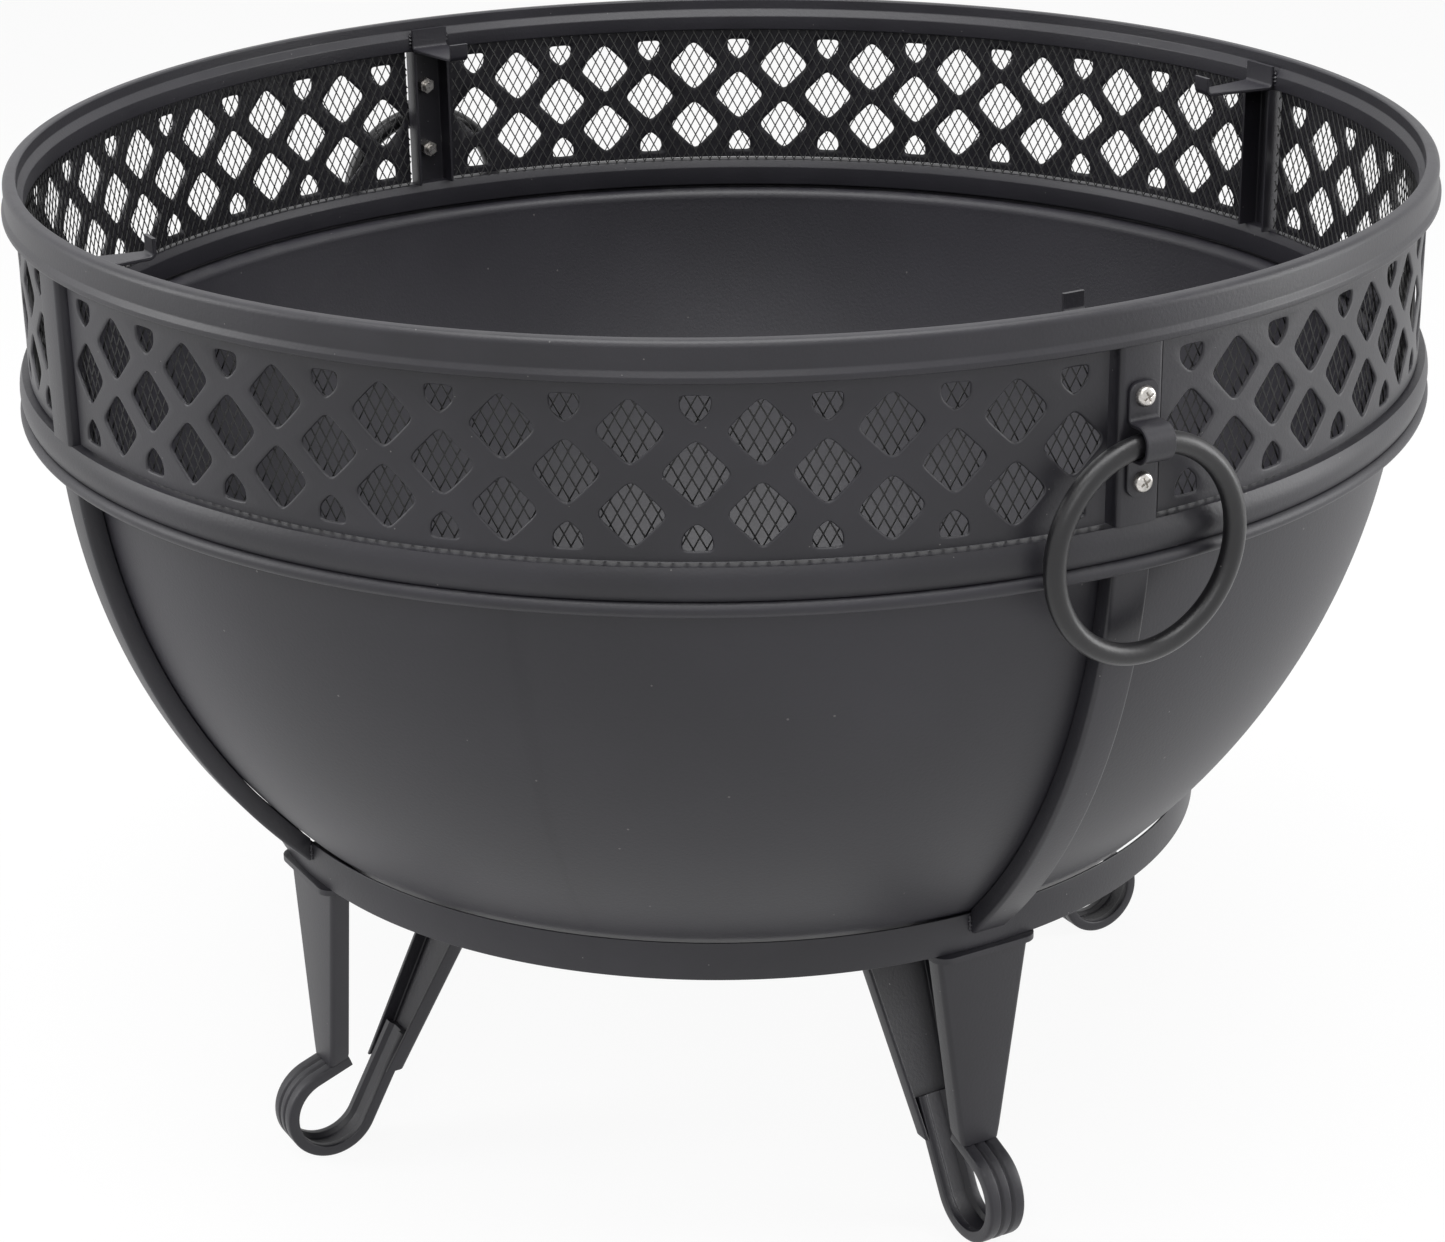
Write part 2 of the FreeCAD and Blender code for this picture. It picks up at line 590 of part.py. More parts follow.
def leg_plate(side, angle):
    """The flat plate that carries the ring and the bowl on top of a leg."""
    body = new_body("leg_plate_" + side)
    sketch = new_sketch(body, "XY_Plane", centred("sizes.plate_width", num(PLATE_BOTTOM)))
    outer = f"({BASE_OUTER} + sizes.plate_overhang)"
    wide = "sizes.plate_width"
    corner = "sizes.plate_corner"
    outline(sketch, [
        ("sizes.plate_inner", "0"), (f"{outer} - {corner}", "0"), (outer, corner),
        (outer, f"{wide} - {corner}"), (f"{outer} - {corner}", wide), ("sizes.plate_inner", wide),
    ], {1: corner, 3: corner})
    pad(body, sketch, "sizes.plate_thickness")
    body.Placement = turned(angle)


def tapered_channel(label, sections, sheet_size):
    """A channel lofted between two sections: (level, face, tips, width) for each."""
    body = new_body(label)
    sketches = []
    for level, face, tips, width in sections:
        sketch = new_sketch(body, "XY_Plane", centred(width, num(level)))
        outline(sketch, channel_points(face, tips, width, sheet_size))
        sketches.append(sketch)
    loft = body.newObject("PartDesign::AdditiveLoft", label + "_loft")
    loft.Profile = sketches[0]
    loft.Sections = sketches[1:]
    loft.Ruled = True
    return body


def outer_channel(side, angle):
    """The upright front of a leg: a channel that narrows downwards, open to the inside. Its
    end is cut along the bar of the looped foot, which passes under it."""
    tips = f"({LEG_FACE} - sizes.leg_flange)"
    body = tapered_channel("leg_outer_" + side, [
        (PLATE_BOTTOM, LEG_FACE, tips, "sizes.leg_top_width"),
        ("sizes.leg_end_height", LEG_FACE, tips, "sizes.leg_foot_width"),
    ], "sizes.leg_sheet")
    doc.recompute()
    before = body.Shape.Volume
    rise, run = "sin(sizes.lead_angle)", "cos(sizes.lead_angle)"
    touch = f"({SCROLL_LINE} + sizes.scroll_radius * {run})"
    level = f"({SCROLL_LEVEL} + sizes.scroll_radius * {rise} + sizes.fit_gap / {rise})"
    inner_end = f"({touch} - sizes.lead_run)"
    slot = new_sketch(body, "XZ_Plane")
    outline(slot, [
        (inner_end, "0"), (touch, "0"), (touch, level),
        (inner_end, f"{level} + sizes.lead_run * {run} / {rise}"),
    ])
    pocket(body, slot, "sizes.leg_top_width", midplane=True)
    checked_cut(body, before)
    body.Placement = turned(angle)


def inner_channel(side, angle):
    """The leaning back of a leg: a narrowing channel, open to the outside, that holds the
    straight end of the looped foot."""
    sections = []
    for level, width in ((PLATE_BOTTOM, "sizes.leg_inner_width"),
                         (f"({SCROLL_LEVEL} + sizes.leg_inner_end)", "sizes.leg_inner_foot")):
        face = (f"({SCROLL_LINE} - (sizes.scroll_radius + sizes.fit_gap + sizes.leg_sheet)"
                f" / cos(sizes.lean_angle) - ({level} - {SCROLL_LEVEL}) * tan(sizes.lean_angle))")
        tips = f"({face} + sizes.leg_sheet + sizes.leg_inner_flange)"
        sections.append((level, face, tips, width))
    body = tapered_channel("leg_inner_" + side, sections, "sizes.leg_sheet")
    body.Placement = turned(angle)


def bar_section(sketch):
    """The foot bar's section at its radius from the loop's centre: two grooves in the outer
    face and a channel in the inner one."""
    outer = "sizes.scroll_radius"
    inner = "(sizes.scroll_radius - sizes.scroll_thickness)"
    deep = "sizes.scroll_groove"
    flute = f"({inner} + sizes.scroll_flute)"
    wide = "sizes.scroll_width"
    groove = [(0.30, outer), (0.36, f"{outer} - {deep}"), (0.42, outer)]
    points = [(inner, "0"), (outer, "0")]
    points += [(x, f"{wide} * {share}") for share, x in groove]
    points += [(x, f"{wide} * {1 - share}") for share, x in reversed(groove)]
    points += [
        (outer, wide), (inner, wide), (inner, f"{wide} * 0.78"),
        (flute, f"{wide} * 0.7"), (flute, f"{wide} * 0.3"),
        (inner, f"{wide} * 0.22"),
    ]
    outline(sketch, points)


def scroll(side, angle):
    """The looped foot: a fluted bar that leaves the outer channel, turns under and runs
    straight up into the inner channel."""
    body = new_body("leg_scroll_" + side)
    begin = -num("sizes.lead_angle")
    finish = 180 - num("sizes.lean_angle")
    for turn in (begin, finish):
        corner = Vector(num(SCROLL_LINE), -num("sizes.scroll_width") / 2, num(SCROLL_LEVEL))
        place = Placement(corner, Rotation(Vector(0, 1, 0), turn))
        sketch = new_sketch(body, "XY_Plane", place)
        bar_section(sketch)
        if turn == begin:
            pad(body, sketch, "sizes.lead_run")
            revolve(body, sketch, angle="180 - sizes.lean_angle + sizes.lead_angle")
        else:
            pad(body, sketch, "sizes.scroll_run", backwards=True)
    body.Placement = turned(angle)


def screw_levels():
    """Heights of the two screws of a handle strap."""
    return [f"{STRAP_TOP} - sizes.screw_inset",
            f"{STRAP_TOP} - sizes.strap_height + sizes.screw_inset"]


def handle_strap(side, angle):
    """A flat strap with arched ends and a half-round loop that carries the ring."""
    body = new_body("handle_strap_" + side)
    thick = "sizes.strap_thickness"
    bottom = f"({STRAP_TOP} - sizes.strap_height)"
    outer_loop = f"(sizes.loop_radius + {thick})"
    face = f"({BAND_FACE} + {thick})"
    bend = "sizes.strap_bend"
    sketch = new_sketch(body, "XZ_Plane")
    outline(sketch, [
        (BAND_FACE, bottom), (face, bottom),
        (face, f"{LOOP_LEVEL} - {outer_loop} - {bend}"),
        (f"{face} + {bend}", f"{LOOP_LEVEL} - {outer_loop}"),
        (LOOP_LINE, f"{LOOP_LEVEL} - {outer_loop}"),
        (f"{LOOP_LINE} + {outer_loop}", LOOP_LEVEL),
        (LOOP_LINE, f"{LOOP_LEVEL} + {outer_loop}"),
        (f"{face} + {bend}", f"{LOOP_LEVEL} + {outer_loop}"),
        (face, f"{LOOP_LEVEL} + {outer_loop} + {bend}"),
        (face, STRAP_TOP), (BAND_FACE, STRAP_TOP),
        (BAND_FACE, f"{LOOP_LEVEL} + sizes.loop_radius"),
        (LOOP_LINE, f"{LOOP_LEVEL} + sizes.loop_radius"),
        (f"{LOOP_LINE} + sizes.loop_radius", LOOP_LEVEL),
        (LOOP_LINE, f"{LOOP_LEVEL} - sizes.loop_radius"),
        (BAND_FACE, f"{LOOP_LEVEL} - sizes.loop_radius"),
    ], {2: f"-{bend}", 4: outer_loop, 5: outer_loop, 7: f"-{bend}",
        12: "-sizes.loop_radius", 13: "-sizes.loop_radius"})
    solid = pad(body, sketch, "sizes.strap_width", midplane=True)
    doc.recompute()
    corners = [f"Edge{i}" for i, edge in enumerate(solid.Shape.Edges, start=1)
               if abs(edge.Length - num(thick)) < 1e-4
               and edge.BoundBox.XLength > num(thick) - 1e-4
               and min(abs(edge.CenterOfMass.z - num(bottom)),
                       abs(edge.CenterOfMass.z - num(STRAP_TOP))) < 1e-4]
    round_end = body.newObject("PartDesign::Fillet", body.Label + "_ends")
    round_end.Base = (solid, corners)
    round_end.setExpression("Radius", "sizes.strap_corner")
    doc.recompute()
    before = body.Shape.Volume
    holes = new_sketch(body, "YZ_Plane")
    for level in screw_levels():
        circle(holes, "0", level, "sizes.screw_radius + sizes.screw_clearance")
    pocket(body, holes, f"{LOOP_LINE} + {outer_loop}", backwards=True)
    checked_cut(body, before)
    body.Placement = turned(angle)


def ring_handle(side, angle):
    """The round ring that hangs in the strap's loop."""
    body = new_body("ring_handle_" + side)
    place = Placement(Vector(num(LOOP_LINE), num(f"{PIVOT_LEVEL} - sizes.ring_radius"), 0),
                      Rotation())
    sketch = new_sketch(body, "XZ_Plane", place)
    circle(sketch, "0", "sizes.ring_radius", "sizes.wire_radius")
    revolve(body, sketch, axis="H_Axis")
    body.Placement = turned(angle)


def primitive(kind, name, place, **sizes):
    """A Part primitive whose sizes are expressions."""
    item = doc.addObject(kind, name)
    for key, expression in sizes.items():
        item.setExpression(key, expression)
    item.Placement = place
    return item


def fastener_set(label, makers, angle):
    """Several loose solids that share one node."""
    group = doc.addObject("Part::Compound", label)
    group.Label = label
    group.Links = makers
    group.Placement = turned(angle)
    pieces.append(group)


def pan_screw(name, level):
    """A pan-head screw with a cross recess, its shank running inwards along X."""
    face = num(f"{BAND_FACE} + sizes.strap_thickness")
    outwards = Rotation(Vector(0, 1, 0), 90)
    seat = Placement(Vector(face, 0, level), outwards)
    head = primitive("Part::Cylinder", name + "_disc", seat,
                     Radius="sizes.screw_head_radius", Height="sizes.screw_head_height")
    doc.recompute()
    rim = [i for i, edge in enumerate(head.Shape.Edges, start=1)
           if edge.BoundBox.XLength < 1e-4 and edge.BoundBox.XMin > face + 1]
    dome = doc.addObject("Part::Fillet", name + "_dome")
    dome.Base = head
    dome.Edges = [(rim[0], num("sizes.screw_dome"), num("sizes.screw_dome"))]
    blades = []
    for turn in (0, 90):
        spin = Rotation(Vector(1, 0, 0), 25 + turn)
        corner = spin.multVec(Vector(0, -num("sizes.recess_reach") / 2,
                                     -num("sizes.recess_width") / 2))
        depth = num("sizes.screw_head_height - sizes.recess_depth")
        place = Placement(Vector(face + depth, 0, level) + corner, spin)
        blades.append(primitive("Part::Box", name + "_blade", place,
                                Length="sizes.screw_head_height",
                                Width="sizes.recess_reach", Height="sizes.recess_width"))
    cross = doc.addObject("Part::MultiFuse", name + "_cross")
    cross.Shapes = blades
    recessed = doc.addObject("Part::Cut", name + "_head")
    recessed.Base = dome
    recessed.Tool = cross
    shank = primitive("Part::Cylinder", name + "_shank",
                      Placement(Vector(face + 0.5 - num("sizes.screw_length"), 0, level),
                                outwards),
                      Radius="sizes.screw_radius", Height="sizes.screw_length")
    screw = doc.addObject("Part::MultiFuse", name)
    screw.Shapes = [recessed, shank]
    return screw


def hex_nut(name, level):
    """A plain nut against the inside of the post's web."""
    back = num(f"{BAND_FACE} - sizes.sheet - sizes.nut_height")
    place = Placement(Vector(back, 0, level), Rotation(Vector(0, 1, 0), 90))
    blank = primitive("Part::Prism", name + "_blank", place,
                      Circumradius="sizes.nut_across / sqrt(3)", Height="sizes.nut_height")
    blank.Polygon = 6
    bore = primitive("Part::Cylinder", name + "_bore", place,
                     Radius="sizes.screw_radius + sizes.fit_gap / 3",
                     Height="sizes.nut_height")
    nut = doc.addObject("Part::Cut", name)
    nut.Base = blank
    nut.Tool = bore
    return nut


def handle_fixings(side, angle):
    levels = [num(level) for level in screw_levels()]
    screws = [pan_screw(f"{side}_screw_{i}", level) for i, level in enumerate(levels)]
    nuts = [hex_nut(f"{side}_nut_{i}", level) for i, level in enumerate(levels)]
    fastener_set("handle_screws_" + side, screws, angle)
    fastener_set("handle_nuts_" + side, nuts, angle)


def log_grate():
    """A grate that stands on the bowl's floor: a flat ring, square bars across it and feet."""
    under = num("sizes.bowl_floor_height + sizes.sheet + sizes.grate_height")
    ring = new_body("log_grate_ring")
    sketch = new_sketch(ring, "XZ_Plane", Placement(Vector(0, under, 0), Rotation()))
    outline(sketch, [
        ("sizes.grate_radius - sizes.grate_band", "0"), ("sizes.grate_radius", "0"),
        ("sizes.grate_radius", "sizes.grate_bar"),
        ("sizes.grate_radius - sizes.grate_band", "sizes.grate_bar"),
    ])
    revolve(ring, sketch)
    top = under + num("sizes.grate_bar")
    count = int(num("sizes.grate_bar_count"))
    reach = num("sizes.grate_radius - sizes.grate_band / 2")
    bars = []
    for i in range(count):
        across = reach * (2 * (i + 1) / (count + 1) - 1)
        half = math.sqrt(reach * reach - across * across)
        place = Placement(Vector(-half, across - num("sizes.grate_bar") / 2, top), Rotation())
        bar = primitive("Part::Box", f"grate_bar_{i}", place,
                        Width="sizes.grate_bar", Height="sizes.grate_bar")
        bar.Length = 2 * half
        bars.append(bar)
    fastener_set("log_grate_bars", bars, 0)
    feet = []
    for i in range(4):
        place = turned(45 + 90 * i) * Placement(
            Vector(num("sizes.grate_radius - sizes.grate_band / 2"), 0,
                   under - num("sizes.grate_height - sizes.fit_gap")), Rotation())
        feet.append(primitive("Part::Cylinder", f"grate_foot_{i}", place,
                              Radius="sizes.grate_band / 2",
                              Height="sizes.grate_height - sizes.fit_gap"))
    fastener_set("log_grate_feet", feet, 0)


top_rim()
lower_ring()
bowl()
base_ring()
for corner, angle in CORNERS.items():
    lattice_panel(corner, angle)
    spark_mesh(corner, angle)
for side, angle in SIDES.items():
    has_handle = side in ("right", "left")
    post(side, angle, has_handle)
    grate_tab(side, angle)
    rib(side, angle)
    leg_plate(side, angle)
    outer_channel(side, angle)
    inner_channel(side, angle)
    scroll(side, angle)
    if has_handle:
        handle_strap(side, angle)
        ring_handle(side, angle)
        handle_fixings(side, angle)
log_grate()
doc.recompute()

for item in doc.Objects:
    if "Invalid" in item.State or "Error" in item.State:
        raise RuntimeError(f"{item.Label} failed: {item.State}")
for piece in pieces:
    if piece.Shape.isNull() or not piece.Shape.isValid():
        raise RuntimeError(f"{piece.Label} has no valid shape")

os.makedirs("parts", exist_ok=True)
for piece in pieces:
    piece.Shape.exportStep(f"parts/{piece.Label}.step")
    box = piece.Shape.BoundBox
    print(f"{piece.Label:28s} solids {len(piece.Shape.Solids)} volume {piece.Shape.Volume:10.0f}"
          f" x {box.XMin:7.1f} {box.XMax:7.1f} y {box.YMin:7.1f} {box.YMax:7.1f}"
          f" z {box.ZMin:6.1f} {box.ZMax:6.1f}")
print(f"pivot of the ring handles: x {num(LOOP_LINE):.3f} z {num(PIVOT_LEVEL):.3f}")
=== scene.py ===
import math
import bmesh
import bpy
import numpy as np
from mathutils import Matrix, Vector


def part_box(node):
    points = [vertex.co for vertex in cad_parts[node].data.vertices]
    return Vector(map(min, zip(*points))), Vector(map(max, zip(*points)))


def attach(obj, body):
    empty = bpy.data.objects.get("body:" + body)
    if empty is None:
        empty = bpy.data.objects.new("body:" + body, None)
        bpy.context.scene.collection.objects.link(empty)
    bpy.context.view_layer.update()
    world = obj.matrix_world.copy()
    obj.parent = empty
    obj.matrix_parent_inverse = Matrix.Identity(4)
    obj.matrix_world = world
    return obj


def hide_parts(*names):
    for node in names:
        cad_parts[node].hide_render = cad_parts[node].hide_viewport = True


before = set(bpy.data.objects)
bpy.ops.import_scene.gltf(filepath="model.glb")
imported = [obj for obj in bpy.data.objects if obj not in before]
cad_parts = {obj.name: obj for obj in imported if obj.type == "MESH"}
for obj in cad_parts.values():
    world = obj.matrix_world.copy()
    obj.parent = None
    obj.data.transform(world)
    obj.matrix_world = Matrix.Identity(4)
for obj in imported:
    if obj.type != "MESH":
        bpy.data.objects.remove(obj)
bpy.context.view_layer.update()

# A black steel fire pit: shapes are worked out in millimetres and put into Blender in metres.

sides = {"right": 0, "back": 90, "left": 180, "front": 270}
corners = {"back_right": 45, "back_left": 135, "front_left": 225, "front_right": 315}
print("frame loaded,", len(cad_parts), "nodes")


def boxOf(node):
    low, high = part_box(node)
    return np.array(low) * 1000, np.array(high) * 1000


def gridFaces(rows, columns, closeRows=False, closeColumns=False):
    # quads that join each point of a grid to the next row and the next column
    row = np.arange(rows if closeRows else rows - 1)
    column = np.arange(columns if closeColumns else columns - 1)
    row, column = np.meshgrid(row, column, indexing="ij")
    nextRow = (row + 1) % rows
    nextColumn = (column + 1) % columns
    corner = [row * columns + column, row * columns + nextColumn,
              nextRow * columns + nextColumn, nextRow * columns + column]
    return np.stack(corner, axis=-1).reshape(-1, 4)


def roundCorners(points, radii, steps=5):
    # a closed outline with each corner replaced by an arc tangent to its two sides
    points = np.asarray(points, dtype=float)
    radii = np.broadcast_to(radii, len(points))
    before = np.roll(points, 1, axis=0) - points
    after = np.roll(points, -1, axis=0) - points
    result = []
    for point, back, ahead, radius in zip(points, before, after, radii):
        reach = min(np.linalg.norm(back), np.linalg.norm(ahead)) * 0.49
        back = back / np.linalg.norm(back)
        ahead = ahead / np.linalg.norm(ahead)
        opening = np.arccos(np.clip(back @ ahead, -1, 1))
        if radius <= 0 or opening > math.pi - 0.02:
            result.append(point[None])
            continue
        radius = min(radius, reach * math.tan(opening / 2))
        run = radius / math.tan(opening / 2)
        middle = back + ahead
        centre = point + middle / np.linalg.norm(middle) * radius / math.sin(opening / 2)
        first = point + back * run - centre
        last = point + ahead * run - centre
        share = np.linspace(0, 1, steps)[:, None]
        sweep = math.pi - opening
        blend = first * np.sin((1 - share) * sweep) + last * np.sin(share * sweep)
        result.append(centre + blend / math.sin(sweep))
    return np.concatenate(result)


def carried(path, across, outward, profile, closed=False):
    # point = path + across * (profile's first value) + outward * (profile's second value),
    # for every place along the path and every point of the closed profile
    path = np.asarray(path, dtype=float)
    across = np.broadcast_to(across, path.shape)
    outward = np.broadcast_to(outward, path.shape)
    profile = np.broadcast_to(profile, (len(path),) + np.shape(profile)[-2:])
    points = path[:, None] + across[:, None] * profile[..., :1] + outward[:, None] * profile[..., 1:]
    rows, columns = points.shape[:2]
    faces = gridFaces(rows, columns, closed, True).tolist()
    if not closed:
        faces.append(list(range(columns)))
        faces.append(list(range((rows - 1) * columns, rows * columns)))
    return points.reshape(-1, 3), faces


def turnedRing(profile, segments):
    # a closed profile of (radius, height) carried right round the pit's axis
    angle = np.linspace(0, 2 * math.pi, segments, endpoint=False)
    across = np.stack([np.cos(angle), np.sin(angle), angle * 0], axis=-1)
    return carried(across * 0, across, (0, 0, 1), profile, closed=True)


def spun(shape, degrees):
    # the same shape turned about the pit's axis
    points, faces = shape
    turn = math.radians(degrees)
    matrix = np.array([[math.cos(turn), math.sin(turn), 0],
                       [-math.sin(turn), math.cos(turn), 0], [0, 0, 1]])
    return np.asarray(points) @ matrix, faces


def makePiece(name, shapes, body, material, stands=(), sharpAngle=38):
    # joins shapes into one mesh, merges the points that meet and turns the faces outwards
    points = np.concatenate([shape[0] for shape in shapes]) / 1000
    starts = np.cumsum([0] + [len(shape[0]) for shape in shapes])
    faces = []
    for start, (_, some) in zip(starts, shapes):
        faces += [[corner + int(start) for corner in face] for face in some]
    mesh = bpy.data.meshes.new(name)
    mesh.from_pydata(points.tolist(), [], faces)
    work = bmesh.new()
    work.from_mesh(mesh)
    bmesh.ops.remove_doubles(work, verts=work.verts, dist=2e-6)
    bmesh.ops.recalc_face_normals(work, faces=work.faces)
    work.to_mesh(mesh)
    work.free()
    mesh.polygons.foreach_set("use_smooth", np.ones(len(mesh.polygons), dtype=bool))
    mesh.set_sharp_from_angle(angle=math.radians(sharpAngle))
    mesh.materials.append(material)
    piece = bpy.data.objects.new(name, mesh)
    bpy.context.scene.collection.objects.link(piece)
    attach(piece, body)
    if stands:
        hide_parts(*stands)
    return piece


class Value:
    # one socket of a node, so that node maths can be written as an expression
    def __init__(self, finish, socket):
        self.finish = finish
        self.socket = socket

    def maths(self, operation, *inputs):
        return self.finish.node("ShaderNodeMath", {"operation": operation}, inputs)

    def __add__(self, other):
        return self.maths("ADD", self, other)

    def __sub__(self, other):
        return self.maths("SUBTRACT", self, other)

    def __rsub__(self, other):
        return self.maths("SUBTRACT", other, self)

    def __mul__(self, other):
        return self.maths("MULTIPLY", self, other)

    __radd__ = __add__
    __rmul__ = __mul__

    def above(self, other):
        return self.maths("GREATER_THAN", self, other)

    def below(self, other):
        return self.maths("LESS_THAN", self, other)

    def within(self, low, high):
        # 0 below low, 1 above high, and a soft step between
        settings = {"interpolation_type": "SMOOTHSTEP", "clamp": True}
        return self.finish.node("ShaderNodeMapRange", settings, {0: self, 1: low, 2: high})


class Finish:
    # a material whose nodes are added one call at a time
    def __init__(self, name, constants):
        self.material = bpy.data.materials.new(name)
        self.material.use_nodes = True
        self.nodes = self.material.node_tree.nodes
        self.links = self.material.node_tree.links
        self.shader = self.nodes["Principled BSDF"]
        for socket, value in constants.items():
            self.shader.inputs[socket].default_value = value
        self.place = self.node("ShaderNodeTexCoord", {}, {}, "Object")

    def put(self, socket, value):
        if isinstance(value, Value):
            self.links.new(value.socket, socket)
        else:
            socket.default_value = value

    def node(self, kind, settings, inputs, output=0):
        made = self.nodes.new(kind)
        for key, value in settings.items():
            setattr(made, key, value)
        pairs = inputs.items() if isinstance(inputs, dict) else enumerate(inputs)
        for key, value in pairs:
            self.put(made.inputs[key], value)
        return Value(self, made.outputs[output])

    def noise(self, scale, detail=3.0, roughness=0.5, place=None):
        inputs = {"Vector": place or self.place, "Scale": scale, "Detail": detail,
                  "Roughness": roughness}
        return self.node("ShaderNodeTexNoise", {}, inputs, "Fac")

    def stretched(self, scale):
        return self.node("ShaderNodeMapping", {}, {"Vector": self.place, "Scale": scale})

    def upward(self):
        # how far the surface faces the sky, from -1 to 1
        normal = self.node("ShaderNodeNewGeometry", {}, {}, "Normal")
        return self.node("ShaderNodeSeparateXYZ", {}, [normal], "Z")

    def specks(self, scale, size, rarity):
        # small dots in a few of the cells of a Voronoi pattern
        cells = {"feature": "F1"}
        inputs = {"Vector": self.place, "Scale": scale}
        distance = self.node("ShaderNodeTexVoronoi", cells, inputs, "Distance")
        chance = self.node("ShaderNodeTexVoronoi", cells, inputs, "Color")
        chance = self.node("ShaderNodeSeparateColor", {}, [chance], "Red")
        return distance.below(size) * chance.above(rarity)

    def mixed(self, share, first, second):
        settings = {"data_type": "RGBA"}
        return self.node("ShaderNodeMix", settings, {0: share, 6: first, 7: second}, 2)

    def use(self, **sockets):
        for name, value in sockets.items():
            self.put(self.shader.inputs[name.replace("_", " ")], value)

    def bump(self, height, strength, distance):
        inputs = {"Height": height, "Strength": strength, "Distance": distance}
        self.use(Normal=self.node("ShaderNodeBump", {}, inputs, "Normal"))


def grey(level, warm=0.0, cool=0.0):
    return (level * (1 + warm), level, level * (1 + cool), 1)


def stovePaint(name, settings):
    # sprayed heat-proof paint: orange peel, a faint cloudiness, dry grain and a little dust
    finish = Finish(name, {"Metallic": 0.0, "IOR": settings["ior"]})
    cloud = finish.noise(settings["cloudScale"], 3, 0.55)
    fine = finish.noise(settings["grainScale"], 2, 0.6)
    peel = finish.noise(settings["peelScale"], 2, 0.5)
    thin = finish.mixed(cloud.within(0.35, 0.68), settings["dark"], settings["light"])
    dusty = finish.upward().within(0.2, 0.95) * finish.noise(60, 4, 0.7).within(0.45, 0.75)
    colour = finish.mixed(dusty * settings["dust"], thin, settings["dustColour"])
    specks = finish.specks(settings["speckScale"], 0.07, 0.86) * settings["speckShare"]
    colour = finish.mixed(specks, colour, (0.30, 0.29, 0.28, 1))
    roughness = settings["roughness"] + cloud * settings["sheenChange"] + fine * 0.06
    finish.use(Base_Color=colour, Roughness=roughness + dusty * 0.1)
    finish.bump(peel + fine * 0.35 + specks * 0.4, settings["peel"], 0.00025)
    return finish.material


framePaint = {
    "dark": grey(0.014, 0.05, 0.32), "light": grey(0.022, 0.05, 0.28), "ior": 1.5,
    "cloudScale": 11.0, "grainScale": 2600.0, "peelScale": 620.0, "peel": 0.35,
    "dust": 0.3, "dustColour": grey(0.08), "speckScale": 210.0, "speckShare": 0.5,
    "roughness": 0.36, "sheenChange": 0.08,
}
bowlPaint = dict(framePaint, dark=grey(0.016, 0.05, 0.32), light=grey(0.025, 0.05, 0.28),
                 roughness=0.40, cloudScale=5.0, speckScale=120.0, speckShare=0.3)
# the spark screen is the frame's black paint made darker: the extra darkness is painted shade for its
# place in the recess behind the lattice
screenPaintedShade = dict(framePaint, dark=grey(0.008), light=grey(0.016), roughness=0.5,
                   speckShare=0.0, dust=0.1)
handlePaint = dict(framePaint, dark=grey(0.010, 0.03, 0.15), light=grey(0.016, 0.03, 0.1), roughness=0.26,
                   dust=0.15)
ironPaint = dict(framePaint, dark=grey(0.030), light=grey(0.045, 0.05), roughness=0.55, dust=0.6)

frameBlack = stovePaint("frameBlack", framePaint)
bowlBlack = stovePaint("bowlBlack", bowlPaint)
# the screen's material: black paint darkened with painted shade
screenBlackPaintedShade = stovePaint("screenBlackPaintedShade", screenPaintedShade)
handleBlack = stovePaint("handleBlack", handlePaint)
ironBlack = stovePaint("ironBlack", ironPaint)


def zincPlate(name):
    # bright plate with fine turning marks and dull patches
    finish = Finish(name, {"Metallic": 1.0})
    patch = finish.noise(420, 4, 0.65)
    scratch = finish.noise(900, 3, 0.6, finish.stretched((1, 1, 0.15)))
    shade = patch.within(0.35, 0.7)
    finish.use(Base_Color=finish.mixed(shade, grey(0.62, 0.04, -0.04), grey(0.42, 0.03, -0.06)),
               Roughness=0.2 + shade * 0.16 + scratch * 0.08)
    finish.bump(scratch, 0.25, 0.0001)
    return finish.material


zinc = zincPlate("zinc")
print("finishes made")


rim = {"width": 11, "flare": 3, "slope": 2.5, "inset": 1.5, "segments": 288}
rimLow, rimHigh = boxOf("top_rim_ring")
outerRadius = rimHigh[0]
rimBottom, rimTop = rimLow[2], rimHigh[2]
faceRadius = outerRadius - rim["inset"]
skirt = outerRadius - rim["width"]
rimOutline = roundCorners([
    (skirt, rimBottom), (outerRadius, rimBottom), (outerRadius, rimBottom + rim["flare"]),
    (faceRadius, rimBottom + rim["flare"] + rim["slope"]), (faceRadius, rimTop - 0.2),
    (faceRadius - 6, rimTop), (skirt + 2.8, rimTop - 0.6), (skirt + 2.8, rimTop - 6),
    (skirt, rimTop - 10),
], [0.6, 1.2, 1.4, 2.0, 3.4, 6.0, 1.2, 1.5, 1.5], 7)
makePiece("rimRing", [turnedRing(rimOutline, rim["segments"])], "frame",
          frameBlack, ["top_rim_ring"])

lowerRing = {"inset": 2.5, "width": 8.5, "bulge": 1.8, "chamfer": 1.8, "slope": 4.5}
ringTop = boxOf("post_right")[0][2]
ringBottom = ringTop - 15.1
edgeRadius = outerRadius - lowerRing["inset"]
innerRadius = edgeRadius - lowerRing["width"]
rise = np.linspace(0, 1, 15)
bulge = np.stack([edgeRadius + lowerRing["bulge"] * (1 - (2 * rise - 1) ** 2),
                  ringBottom + rise * (ringTop - ringBottom)], axis=-1)
lowerOutline = np.concatenate([
    roundCorners(np.concatenate([bulge[[0, -1]], [
        (innerRadius + lowerRing["chamfer"], ringTop), (innerRadius, ringTop - lowerRing["slope"]),
        (innerRadius, ringBottom)]]), [0, 0, 1.2, 2.5, 0.6], 5)[1:],
    bulge[:-1]])
makePiece("lowerRing", [turnedRing(lowerOutline, rim["segments"])], "frame",
          frameBlack, ["lower_ring"])

